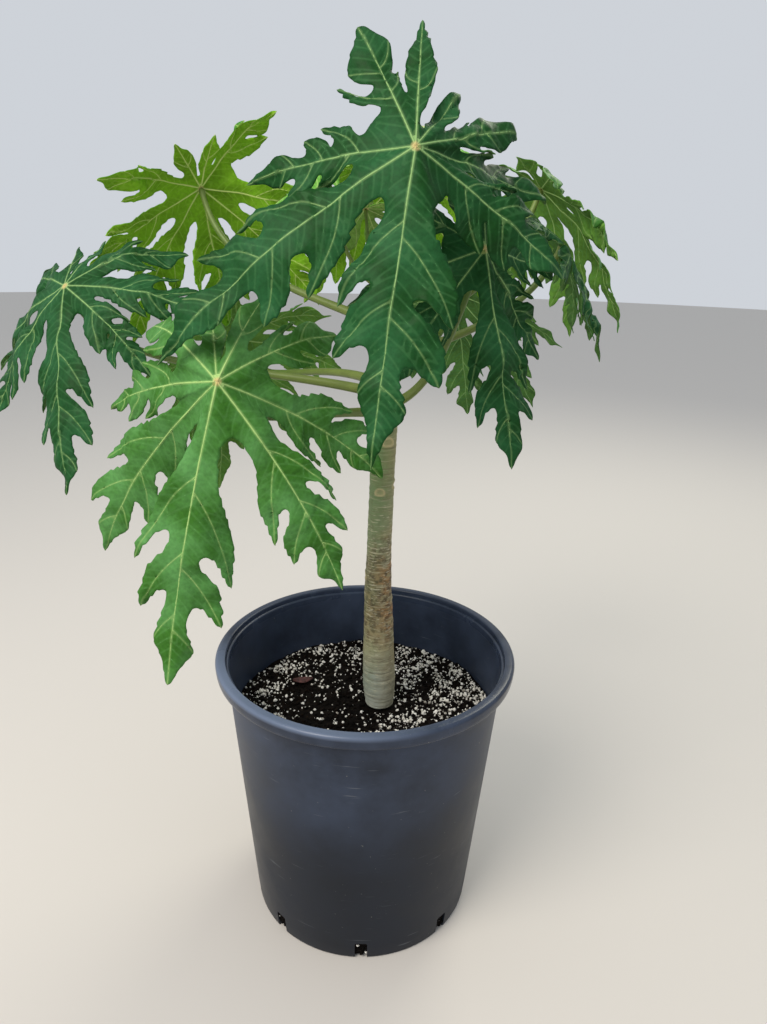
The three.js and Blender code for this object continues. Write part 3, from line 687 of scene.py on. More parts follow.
def leaf_plan(leaf, step, tooth):
    """The flat plan of a leaf: its margin, its main veins and its fine veins."""
    lobes = lobes_of(leaf)
    count = len(lobes)
    gaps = []
    for index, lobe in enumerate(lobes):
        after = lobes[(index + 1) % count]
        turn = after["angle"] - lobe["angle"] + (2 * math.pi if index == count - 1 else 0)
        rank = lobes[0]["rank"] if index == count - 1 else min(lobe["rank"], after["rank"])
        gaps.append((turn, (lobe["notch"] or SINUS_REACH[rank]) * leaf["length"]))
    rib_lean, vein_lean = (radians(lean) for lean in VEIN_LEANS)
    spacing = VEIN_SPACING * (YOUNG_SPACING_SHARE if leaf.get("young") else 1)
    margin, ribs, sub_ribs, fine = [], [], [], []
    for index, lobe in enumerate(lobes):
        rib = np.array([[0.0, 0.0], [lobe["length"], 0.0]])
        ribs.append(in_plan(lobe, 1, rib))
        sides = {}
        for side in (-1, 1):
            turn, radius = gaps[index if side > 0 else index - 1]
            notch = radius * np.array([math.cos(0.5 * turn), math.sin(0.5 * turn)])
            room = 0.5 * turn * LOBE_ROOM
            edge, veins = lobe_side(leaf, lobe, side, index, notch[0], room)
            seed = leaf["seed"] * 31 + index * 7 + side
            sides[side] = smooth_edge(edge, notch, 0.5 * turn, seed, step, tooth)
            walls = [np.stack([sides[side][:-1], sides[side][1:]], axis=1)]
            walls += [np.stack([vein[:-1], vein[1:]], axis=1) for vein in veins]
            walls.append(np.array([[[0.0, 0.0], notch]]))
            walls.append(rib[None])
            lines = side_veins(rib, [1], rib_lean, spacing, walls, seed)
            for vein in veins:
                lines += side_veins(vein, [-1, 1], vein_lean, 0.85 * spacing, walls, seed + 3)
            fine += [in_plan(lobe, side, line) for line in lines]
            sub_ribs += [in_plan(lobe, side, vein) for vein in veins]
        margin.append(in_plan(lobe, -1, sides[-1])[:-1])
        margin.append(in_plan(lobe, 1, sides[1])[:0:-1])
    return {"lobes": lobes, "gaps": gaps, "margin": np.concatenate(margin), "ribs": ribs,
            "sub_ribs": sub_ribs, "fine": fine}


def place_on_blade(leaf, plan, points):
    """The points of a plan in space: a shared surface near the stalk, and free lobes beyond."""
    lobes, gaps = plan["lobes"], plan["gaps"]
    count = len(lobes)
    seat = blade_seat(leaf)
    ribs = [bend_rib(leaf, seat, lobe, index) for index, lobe in enumerate(lobes)]
    first = lobes[0]["angle"] - 0.5 * gaps[-1][0]
    seams = np.array([lobe["angle"] + 0.5 * gap[0] - first for lobe, gap in zip(lobes, gaps)])
    around = (np.arctan2(points[:, 1], points[:, 0]) - first) % (2 * math.pi)
    owner = np.minimum(np.searchsorted(seams, around), count - 1)
    radius = np.hypot(points[:, 0], points[:, 1])
    placed = np.zeros((len(points), 3))
    for index, lobe in enumerate(lobes):
        turn = around + first - lobe["angle"]
        for side in (-1, 1):
            mine = np.flatnonzero((owner == index) & ((turn >= 0) if side > 0 else (turn < 0)))
            gap, notch = gaps[index if side > 0 else index - 1]
            own_turn, far = np.abs(turn[mine]), radius[mine]
            own = place_on_rib(leaf, ribs[index], far * np.cos(own_turn), side * far * np.sin(own_turn))
            rest = gap - own_turn
            other = place_on_rib(leaf, ribs[(index + side) % count], far * np.cos(rest),
                                 -side * far * np.sin(rest))
            nearness = np.minimum(1, own_turn / (0.5 * gap))
            share = 0.5 * nearness**3 * (1 - smooth_step(notch, WEB_REACH * notch, far))
            placed[mine] = own + (other - own) * share[:, None]
    return placed


def corner_normals(points, triangles):
    """The upward normal at each point of a surface."""
    normals = np.zeros_like(points)
    flat = np.cross(points[triangles[:, 1]] - points[triangles[:, 0]],
                    points[triangles[:, 2]] - points[triangles[:, 0]])
    for column in range(3):
        np.add.at(normals, triangles[:, column], flat)
    return unit(normals)


def raised_vein(points, normals, widths, half, first, sides):
    """A low closed ridge along a vein, higher under the blade than above it."""
    ways = unit(np.gradient(points, axis=0))
    across = unit(np.cross(normals, ways))
    ring, faces = [], []
    for turn in (np.arange(sides) + 0.5) * 2 * math.pi / sides:
        rise = math.sin(turn)
        height = half + widths * (VEIN_RISE_ABOVE if rise > 0 else VEIN_RISE_BELOW)
        ring.append(points + across * (widths * math.cos(turn))[:, None] + normals * (height * rise)[:, None])
    corners = np.stack(ring, axis=1).reshape(-1, 3)
    count = len(points)
    for step in range(count - 1):
        for side in range(sides):
            here, after = step * sides + side, step * sides + (side + 1) % sides
            faces.append((first + here, first + after, first + after + sides, first + here + sides))
    faces.append(tuple(first + side for side in reversed(range(sides))))
    faces.append(tuple(first + (count - 1) * sides + side for side in range(sides)))
    upper = np.tile(np.repeat([1.0, 0.0], sides // 2), count)
    return corners, faces, upper


def fill_plan(margin, veins, step, seed):
    """Fills a plan with triangles that keep its margin and its veins as edges.

    Gives the points, the triangles and, for each point of margin and veins, its number."""
    fixed = np.concatenate([margin] + veins)
    tree = search_tree(fixed)
    grid = points_inside(margin, step, seed)
    grid = grid[[tree.find((x, y, 0))[2] > MESH_ROOM * step for x, y in grid]]
    edges, start = [], len(margin)
    for line in veins:
        edges += [(start + index, start + index + 1) for index in range(len(line) - 1)]
        start += len(line)
    flat = np.concatenate([fixed, grid])
    loop = list(range(len(margin)))
    made = delaunay_2d_cdt([Vector(point) for point in flat], edges, [loop], 1, 1e-4, True)
    points = np.array([tuple(point) for point in made[0]])
    triangles = np.array([face for face, sources in zip(made[2], made[5]) if sources])
    used = np.unique(triangles)
    order = np.full(len(points), -1)
    order[used] = np.arange(len(used))
    own = np.full(len(flat), -1)
    for index, sources in enumerate(made[3]):
        for source in sources:
            own[source] = order[index]
    return points[used], order[triangles], own


def shape_blade(leaf, plan, points, triangles, gaps, settings, step):
    """The blade's middle surface and its normals: quilted, ruffled at the margin, in slow waves."""
    rim = search_tree(plan["margin"])
    nearest = [rim.find((x, y, 0)) for x, y in points]
    inward = np.array([item[2] for item in nearest])
    around = np.array([item[1] for item in nearest]) * step
    middle = place_on_blade(leaf, plan, points)
    normals = corner_normals(middle, triangles)
    by_rib, by_vein = (np.exp(-np.clip(gap, 0, None) / run) for gap, run in zip(gaps, QUILT_RUN))
    quilt = settings.quilting / MM * (1 - by_rib - 0.3 * by_vein)
    radius = np.hypot(*points.T)
    ruffle = np.array([noise.noise((place / RUFFLE_LENGTH, leaf["seed"] * 3.1, 0.2))
                       for place in around])
    ruffle *= settings.ruffle / MM * np.exp(-inward / RUFFLE_REACH) * smooth_step(10, 60, radius)
    wave = np.array([noise.noise((x, y, leaf["seed"] * 1.7))
                     for x, y in points / WAVE_LENGTH])
    wave *= settings.wave / MM * smooth_step(20, 90, radius)
    middle = middle + normals * (quilt + ruffle + wave)[:, None]
    return middle, corner_normals(middle, triangles)


def build_leaf(leaf, settings):
    """The whole blade as arrays: points in metres, faces, and the values its finish reads."""
    young = leaf.get("young")
    step = settings.mesh_step / MM * (YOUNG_STEP_SHARE if young else 1)
    tooth = settings.tooth_depth / MM * (YOUNG_TOOTH_SHARE if young else 1)
    plan = leaf_plan(leaf, step, tooth)
    kinds = ([(RIB_HALF_WIDTHS, 6, RIB_MARK)] * len(plan["ribs"])
             + [(SUB_RIB_HALF_WIDTHS, 6, RIB_MARK)] * len(plan["sub_ribs"])
             + [(FINE_HALF_WIDTHS, 4, FINE_MARK)] * len(plan["fine"]))
    veins = [resampled(line, step) for line in plan["ribs"] + plan["sub_ribs"] + plan["fine"]]
    points, triangles, own = fill_plan(plan["margin"], veins, step, leaf["seed"])

    slim = YOUNG_VEIN_SHARE if young else leaf["length"] / VEIN_WIDTHS_LENGTH
    widths = [(slim * first, slim * last) for (first, last), _, _ in kinds]
    thick = len(plan["ribs"]) + len(plan["sub_ribs"])
    rib_gap = distance_to_lines(points, veins[:thick], widths[:thick])
    vein_gap = distance_to_lines(points, veins[thick:], widths[thick:])
    middle, normals = shape_blade(leaf, plan, points, triangles, (rib_gap, vein_gap), settings, step)

    half = 0.5 * settings.thickness / MM
    count = len(middle)
    way = np.concatenate([triangles[:, pair] for pair in ([0, 1], [1, 2], [2, 0])])
    _, index, uses = np.unique(np.sort(way, axis=1), axis=0, return_index=True, return_counts=True)
    free = way[index[uses == 1]]
    faces = [tuple(row) for row in triangles]
    faces += [tuple(row) for row in triangles[:, ::-1] + count]
    faces += [(a, a + count, b + count, b) for a, b in free]
    parts = [middle + normals * half, middle - normals * half]
    values = {"rib_gap": [rib_gap, rib_gap], "vein_gap": [vein_gap, vein_gap],
              "upper_side": [np.ones(count), np.zeros(count)],
              "plan": [np.column_stack([points, np.zeros(count)])] * 2}
    total = 2 * count
    start = len(plan["margin"])
    for line, (first, last), (_, sides, mark) in zip(veins, widths, kinds):
        ids = own[start:start + len(line)]
        start += len(line)
        ids = ids[ids >= 0]
        apart = np.linalg.norm(np.diff(middle[ids], axis=0), axis=1) > 0.2
        ids = ids[np.concatenate([[True], apart])[:len(ids)]]
        if len(ids) < 3:
            continue
        course = middle[ids]
        for _ in range(2):
            course[1:-1] = 0.25 * course[:-2] + 0.5 * course[1:-1] + 0.25 * course[2:]
        taper = np.linspace(first, last, len(ids))
        corners, ridge, upper = raised_vein(course, normals[ids], taper, half, total, sides)
        total += len(corners)
        parts.append(corners)
        faces += ridge
        values["rib_gap"].append(np.full(len(corners), mark))
        values["vein_gap"].append(np.full(len(corners), 10.0))
        values["upper_side"].append(upper)
        flat_points = np.repeat(points[ids], sides, axis=0)
        values["plan"].append(np.column_stack([flat_points, np.zeros(len(flat_points))]))
    merged = {name: np.concatenate(rows) for name, rows in values.items()}
    return np.concatenate(parts) * MM, faces, merged


def stalk_path(leaf):
    """Even points along a stalk, from the trunk's axis to the underside of its blade, in millimetres."""
    own = leaf.get("stalk", {})
    centre, _, _, upper = blade_seat(leaf)
    azimuth = radians(leaf["azimuth"] + own.get("swing", 0))
    start = np.array([trunk_axis_x(leaf["node"]), 0, leaf["node"]])
    span = np.linalg.norm(centre - start)
    leave = start + np.array([math.cos(azimuth), math.sin(azimuth), 0]) * 0.4 * span
    leave[2] += own.get("lift", 0.1) * span
    end = centre - upper * (0.5 * leaf["length"] * BLADE_THICKNESS_SHARE + SOLID_GAP)
    arrive = end - upper * own.get("back", 0.16) * span
    arrive[2] -= own.get("under", 0.2) * span
    t = np.linspace(0, 1, 401)[:, None]
    curve = ((1 - t)**3 * start + 3 * (1 - t)**2 * t * leave + 3 * (1 - t) * t**2 * arrive + t**3 * end)
    curve = np.concatenate([curve, [centre - upper * 0.4]])
    reach = reach_along(curve)
    return points_at(curve, reach, np.linspace(0, reach[-1], STALK_POINTS)), reach[-1]


def stalk_radii(count, length, slim):
    """Radii along a stalk, in millimetres: a swollen base past the bark, and a flare at the blade."""
    shares = np.linspace(0, 1, count)
    radii = np.array([slim * read_along(STALK_GIRTH, share) for share in shares])
    swelling, level, fade = STALK_SWELLING
    radii *= 1 + swelling * np.exp(-((shares - level / length) / (fade / length)).clip(0) ** 2)
    flare, begin, end = STALK_FLARE
    radii *= 1 + flare * smooth_step(1 - begin / length, 1 - end / length, shares)
    radii *= 1 - 0.6 * smooth_step(1 - end / length, 1, shares)
    return radii


# Shapes of the pot, the mix and the trunk.


def arc(centre, radius, start, end, count):
    """Points of an arc in a profile, from a start angle to an end angle in degrees."""
    turns = np.radians(np.linspace(start, end, count))
    return [(centre[0] + radius * math.cos(turn), centre[1] + radius * math.sin(turn)) for turn in turns]


def wall_radius(height):
    """The outer radius of the pot's wall at a height."""
    share = height / (POT_HEIGHT - RIM_DROP)
    return WALL_FOOT_RADIUS + (WALL_TOP_RADIUS - WALL_FOOT_RADIUS) * share


def pot_profile(wall):
    """The pot's section, from the middle of its underside round to the middle of its floor."""
    rim_foot = POT_HEIGHT - RIM_DROP
    foot_round = 0.004
    fillet = 0.003
    hem = 0.0035
    roll = 0.0055
    # underside, and the round at its edge
    profile = [(0, 0), (0.12, 0)]
    profile += [(WALL_FOOT_RADIUS * share, 0) for share in (0.86, 0.93)]
    profile += arc((wall_radius(0) - foot_round, foot_round), foot_round, -90, -5, 6)
    # outer wall, and the fillet under the rim
    profile += [(wall_radius(rim_foot * share), rim_foot * share) for share in (0.06, 0.3, 0.6, 0.9, 0.985)]
    profile += arc((wall_radius(rim_foot) + fillet, rim_foot - fillet), fillet, 180, 90, 4)
    # hem and roll of the rim
    profile += arc((RIM_RADIUS - 0.0015 - hem, rim_foot + hem), hem, -90, -10, 5)
    profile += [(RIM_RADIUS - 0.0006, rim_foot + 0.008), (RIM_RADIUS - 0.0005, rim_foot + 0.012)]
    profile += arc((RIM_RADIUS - roll, POT_HEIGHT - roll), roll, 0, 90, 9)
    # the fine lip inside the roll, and the step under it
    profile += arc((RIM_RADIUS - 0.0125, POT_HEIGHT - 0.0028), 0.0028, 90, 180, 6)
    profile += arc((RIM_RADIUS - 0.0165, POT_HEIGHT - 0.0085), 0.0012, 30, 90, 3)
    profile += arc((RIM_RADIUS - 0.0168, POT_HEIGHT - 0.0105), 0.0032, 90, 180, 5)
    # inner wall and floor
    profile += [(wall_radius(POT_HEIGHT - 0.028) - wall, POT_HEIGHT - 0.028)]
    profile += [(wall_radius(height) - wall, height) for height in (0.36, 0.3, 0.2, 0.1, 0.03, POT_FLOOR)]
    profile += [(0.1, POT_FLOOR), (0, POT_FLOOR)]
    return profile


def slot_cutter():
    """Bevelled blocks round the pot's foot, one modelled and the others copied from it."""
    bpy.ops.object.select_all(action="DESELECT")
    bpy.ops.mesh.primitive_cube_add(size=1)
    block = bpy.context.object
    block.data.transform(Matrix.Diagonal((2 * SLOT_INWARD, SLOT_WIDTH, 2 * SLOT_HEIGHT, 1)))
    bpy.ops.object.mode_set(mode="EDIT")
    bpy.ops.mesh.select_all(action="SELECT")
    bpy.ops.mesh.bevel(offset=SLOT_ROUND, segments=3)
    bpy.ops.object.mode_set(mode="OBJECT")
    block.data.transform(Matrix.Translation((WALL_FOOT_RADIUS, 0, 0)))
    for slot in range(1, DRAIN_SLOTS):
        other = block.copy()
        other.data = block.data.copy()
        other.data.transform(Matrix.Rotation(slot * 2 * math.pi / DRAIN_SLOTS, 4, "Z"))
        bpy.context.scene.collection.objects.link(other)
        other.select_set(True)
    bpy.ops.object.join()
    return bpy.context.object


def mix_height(x, y, relief):
    """Lumps in the surface of the mix, from hand-sized mounds to crumbs."""
    slow = noise.noise((x * 14, y * 14, 1.0))
    lumps = noise.noise((x * 60, y * 60, 2.0))
    fine = noise.noise((x * 170, y * 170, 3.0))
    return relief * (0.7 * slow + 0.55 * lumps + 0.4 * fine)


def perlite_density(x, y):
    """Where the white grains lie: thick round the edge and at the front right, thin at the front left."""
    ring = smooth_step(0.09, 0.19, math.hypot(x, y))
    right = smooth_step(-0.02, 0.10, x)
    bare = math.exp(-(((x + 0.07) / 0.075) ** 2 + ((y + 0.06) / 0.09) ** 2))
    heap = math.exp(-(((x - 0.06) / 0.055) ** 2 + ((y + 0.10) / 0.05) ** 2))
    patch = 0.5 + 1.3 * noise.noise((x * 34, y * 34, 5.0)) + 0.5 * noise.noise((x * 90, y * 90, 7.0))
    share = (0.10 + 0.34 * ring + 0.28 * right + 0.9 * heap) * (0.1 + 1.4 * patch) * (1 - 0.72 * bare)
    return float(np.clip(share, 0.05, 1))


def leaf_scars():
    """Leaf scars as (turn, height, width, tall): two that face the front, then a spiral elsewhere."""
    scars = [(radians(262), 0.702, 0.013, 0.010), (radians(292), 0.775, 0.016, 0.012)]
    height, turn = SCAR_HEIGHTS[0], 0.6
    while height < SCAR_HEIGHTS[1]:
        if math.cos(turn - radians(270)) < 0.55:
            scars.append((turn % (2 * math.pi), height, 0.021, 0.012))
        height += SCAR_STEP
        turn += radians(SCAR_TURN)
    return scars


# Materials.


def leaf_material(name, colours, settings):
    """Living papaya leaf: waxy and satin above, with painted sky reflection, paler and duller below, with
    pale raised veins.
    """
    upper_green, painted_sheen_green, under_green, rib_green, fine_green = (linear(colour) for colour in colours)
    deep_green = [0.6 * channel for channel in under_green[:3]] + [1.0]
    material, tree = new_material(name)
    plan = add_node(tree, "ShaderNodeAttribute", attribute_name="plan").outputs["Vector"]
    rib, vein, upper = (add_node(tree, "ShaderNodeAttribute", attribute_name=read).outputs["Fac"]
                        for read in ("rib_gap", "vein_gap", "upper_side"))
    # patches about 60 mm wide: above, bluish patches of painted sky reflection, on lit leaves also
    # painted sun; below, a deeper green
    patches = add_node(tree, "ShaderNodeTexNoise", {"Vector": plan, "Scale": 0.016, "Detail": 4.0,
                                                    "Roughness": 0.55})
    patch = add_node(tree, "ShaderNodeMapRange", {"Value": patches.outputs[0], "From Min": 0.40,
                                                  "From Max": 0.64})
    above, below = (add_node(tree, "ShaderNodeMix", {0: patch.outputs[0], 6: plain, 7: patched},
                             data_type="RGBA")
                    for plain, patched in ((upper_green, painted_sheen_green), (under_green, deep_green)))
    both = add_node(tree, "ShaderNodeMix", {0: upper, 6: below.outputs[2], 7: above.outputs[2]},
                    data_type="RGBA")
    # small light and dark flecks, 3 to 6 mm, between the finest veins
    flecks = add_node(tree, "ShaderNodeTexNoise", {"Vector": plan, "Scale": 0.22, "Detail": 2.0})
    fleck = add_node(tree, "ShaderNodeMapRange", {"Value": flecks.outputs[0], "From Min": 0.3,
                                                  "From Max": 0.7, "To Min": 0.86, "To Max": 1.14})
    colour = add_node(tree, "ShaderNodeMix", {0: 1.0, 6: both.outputs[2], 7: fleck.outputs[0]},
                      data_type="RGBA", blend_type="MULTIPLY").outputs[2]
    # the blade pales beside its fine veins, and more beside its ribs
    halo = add_node(tree, "ShaderNodeMapRange", {"Value": vein, "From Max": 1.4, "To Min": 0.22,
                                                 "To Max": 0.0})
    band = add_node(tree, "ShaderNodeMapRange", {"Value": rib, "From Max": 1.2, "To Min": 0.30,
                                                 "To Max": 0.0})
    # the raised veins themselves, by their marks
    is_rib, is_fine = (add_node(tree, "ShaderNodeMath", {0: rib, 1: mark, 2: 0.3}, operation="COMPARE")
                       for mark in (RIB_MARK, FINE_MARK))
    # the small corky boss where the ribs meet
    centre = add_node(tree, "ShaderNodeVectorMath", {0: plan}, operation="LENGTH")
    boss = add_node(tree, "ShaderNodeMapRange", {"Value": centre.outputs["Value"], "From Min": 2.0,
                                                 "From Max": 6.0, "To Min": 0.8, "To Max": 0.0})
    for amount, over in ((halo, fine_green), (band, rib_green), (is_rib, rib_green),
                         (is_fine, fine_green), (boss, linear("#c9ae78"))):
        colour = add_node(tree, "ShaderNodeMix", {0: amount.outputs[0], 6: colour, 7: over},
                          data_type="RGBA").outputs[2]
    # waxier and glossier in some patches, dull below
    shine = add_node(tree, "ShaderNodeMapRange", {"Value": patches.outputs[0], "To Min": settings.roughness,
                                                  "To Max": settings.roughness + 0.16})
    dull = add_node(tree, "ShaderNodeMix", {0: upper, 2: 0.68, 3: shine.outputs[0]})
    # the net of the finest veins shows only as relief; its cells, 1 to 2 mm wide, are drawn 3 to 4
    net = add_node(tree, "ShaderNodeTexVoronoi", {"Vector": plan, "Scale": 0.28},
                   feature="DISTANCE_TO_EDGE")
    relief = add_node(tree, "ShaderNodeBump", {"Height": net.outputs[0], "Strength": 0.3,
                                               "Distance": 0.0005})
    close_material(tree, {"Base Color": colour, "Roughness": dull.outputs[0],
                          "Normal": relief.outputs[0], "IOR": WAX_IOR, "Specular IOR Level": 0.13})
    return material


def stalk_material():
    """Living leaf stalk: smooth waxy green skin, mottled darker, paler towards both ends."""
    material, tree = new_material("waxy_green_leaf_stalk")
    place = add_node(tree, "ShaderNodeTexCoord").outputs["Object"]
    along = add_node(tree, "ShaderNodeAttribute", attribute_name="along")
    streak = add_node(tree, "ShaderNodeTexNoise", {"Vector": place, "Scale": 60.0, "Detail": 3.0})
    base = add_node(tree, "ShaderNodeValToRGB", {"Fac": along.outputs["Fac"]},
                    ramp=[(0.0, linear("#84924c")), (0.35, linear("#6c803c")), (0.8, linear("#688a40")),
                          (1.0, linear("#9db260"))])
    mottled = add_node(tree, "ShaderNodeMix", {0: streak.outputs[0], 6: base.outputs[0],
                                               7: linear("#5b6a35")}, data_type="RGBA")
    relief = add_node(tree, "ShaderNodeBump", {"Height": streak.outputs[0], "Strength": 0.2,
                                               "Distance": 0.0005})
    close_material(tree, {"Base Color": mottled.outputs[2], "Roughness": 0.42,
                          "Normal": relief.outputs[0], "IOR": WAX_IOR})
    return material


def bark_material():
    """Papaya bark: thin, green above, corky brown below and pale at the foot, with fine rings."""
    material, tree = new_material("ringed_papaya_bark")
    place = add_node(tree, "ShaderNodeTexCoord").outputs["Object"]
    split = add_node(tree, "ShaderNodeSeparateXYZ", {0: place})
    height = add_node(tree, "ShaderNodeMapRange", {"Value": split.outputs[2], "From Min": TRUNK_FOOT,
                                                   "From Max": TRUNK_TIP})
    drift = add_node(tree, "ShaderNodeTexNoise", {"Vector": place, "Scale": 22.0, "Detail": 4.0})
    shift = add_node(tree, "ShaderNodeMath", {0: drift.outputs[0], 1: 0.14, 2: -0.07},
                     operation="MULTIPLY_ADD")
    zone = add_node(tree, "ShaderNodeMath", {0: height.outputs[0], 1: shift.outputs[0]}, operation="ADD")
    # pale grey-green foot, tan corky stretch, then olive green, their borders drifting by a few cm
    base = add_node(tree, "ShaderNodeValToRGB", {"Fac": zone.outputs[0]},
                    ramp=[(0.0, linear("#b6beb4")), (0.08, linear("#a2aa9c")), (0.15, linear("#aaa680")),
                          (0.23, linear("#94845f")), (0.34, linear("#82775a")), (0.42, linear("#7c8762")),
                          (0.55, linear("#6f8558")), (0.85, linear("#6d8047"))])
    # painted sunlight and shade: the right-hand side is painted paler and tan, as if sunlit, and takes more
    # cork; the other side, in painted shade, takes more green
    sunlit_side = add_node(tree, "ShaderNodeMapRange", {"Value": split.outputs[0], "From Min": 0.018,
                                                "From Max": 0.040, "To Max": 0.55})
    colour = add_node(tree, "ShaderNodeMix", {0: sunlit_side.outputs[0], 6: base.outputs[0], 7: linear("#aaa075")},
                      data_type="RGBA").outputs[2]
    sunlit_share = add_node(tree, "ShaderNodeMapRange", {"Value": split.outputs[0], "From Min": 0.008,
                                                   "From Max": 0.036, "To Min": 0.2}).outputs[0]
    shaded = add_node(tree, "ShaderNodeMath", {0: 1.0, 1: sunlit_share}, operation="SUBTRACT").outputs[0]

    def layer(below, size, stretch, window, amount, heights, hex_colour, side=1.0):
        """One kind of mark over the colour so far: its size and stretch, how much of it, and where."""
        squash = add_node(tree, "ShaderNodeMapping", {"Vector": place, "Scale": (size, size, size * stretch)})
        marks = add_node(tree, "ShaderNodeTexNoise", {"Vector": squash.outputs[0], "Scale": 1.0,
                                                      "Detail": 4.0, "Roughness": 0.62})
        found = add_node(tree, "ShaderNodeMapRange", {"Value": marks.outputs[0], "From Min": window[0],
                                                      "From Max": window[1], "To Max": amount})
        spread = add_node(tree, "ShaderNodeValToRGB", {"Fac": zone.outputs[0]},
                          ramp=[(at, (share, share, share, 1)) for at, share in heights])
        share = add_node(tree, "ShaderNodeMath", {0: found.outputs[0], 1: spread.outputs[0]},
                         operation="MULTIPLY")
        sided = add_node(tree, "ShaderNodeMath", {0: share.outputs[0], 1: side}, operation="MULTIPLY")
        mixed = add_node(tree, "ShaderNodeMix", {0: sided.outputs[0], 6: below, 7: linear(hex_colour)},
                         data_type="RGBA")
        return mixed.outputs[2], marks.outputs[0]

    # orange cork 30 mm wide, dark cracks 8 mm wide, green patches 40 mm wide, dark and pale rings
    # under 3 mm apart, and short pale dashes
    low_half = [(0.0, 0.05), (0.14, 0.2), (0.24, 1.0), (0.36, 1.0), (0.46, 0.15)]
    whole = [(0.0, 0.6), (0.12, 0.7), (0.24, 1.0), (0.5, 0.8), (0.9, 0.5)]
    upper_half = [(0.0, 0.1), (0.12, 0.6), (0.4, 0.7), (0.6, 1.0)]
    # the orange cork gathers on the side painted sunlit, the green patches on the side in painted shade
    colour, _ = layer(colour, 34, 1.3, (0.42, 0.56), 0.80, low_half, "#a5703c", sunlit_share)
    colour, cracks = layer(colour, 120, 1.0, (0.46, 0.58), 0.85, low_half, "#4d3b28")
    colour, _ = layer(colour, 26, 0.6, (0.36, 0.60), 0.60, upper_half, "#6f8f60", shaded)
    colour, threads = layer(colour, 14, 26.0, (0.44, 0.33), 0.80, whole, "#5c4f36")
    colour, _ = layer(colour, 18, 22.0, (0.56, 0.68), 0.70, whole, "#bdb897")
    colour, dashes = layer(colour, 90, 6.0, (0.56, 0.64), 0.85,
                           [(0.0, 0.35), (0.16, 0.7), (0.44, 1.0), (0.52, 0.35), (0.62, 0.08)], "#cfc9ab")
    # leaf scars: a pale rim round a browner middle
    scar = add_node(tree, "ShaderNodeAttribute", attribute_name="scar")
    colour = add_node(tree, "ShaderNodeMix", {0: scar.outputs["Fac"], 6: colour, 7: linear("#bfb084")},
                      data_type="RGBA").outputs[2]
    height = threads
    for marks in (dashes, cracks):
        height = add_node(tree, "ShaderNodeMath", {0: height, 1: marks}, operation="ADD").outputs[0]
    relief = add_node(tree, "ShaderNodeBump", {"Height": height, "Strength": 0.7, "Distance": 0.0010})
    close_material(tree, {"Base Color": colour, "Roughness": 0.62, "Normal": relief.outputs[0],
                          "IOR": 1.45})
    return material


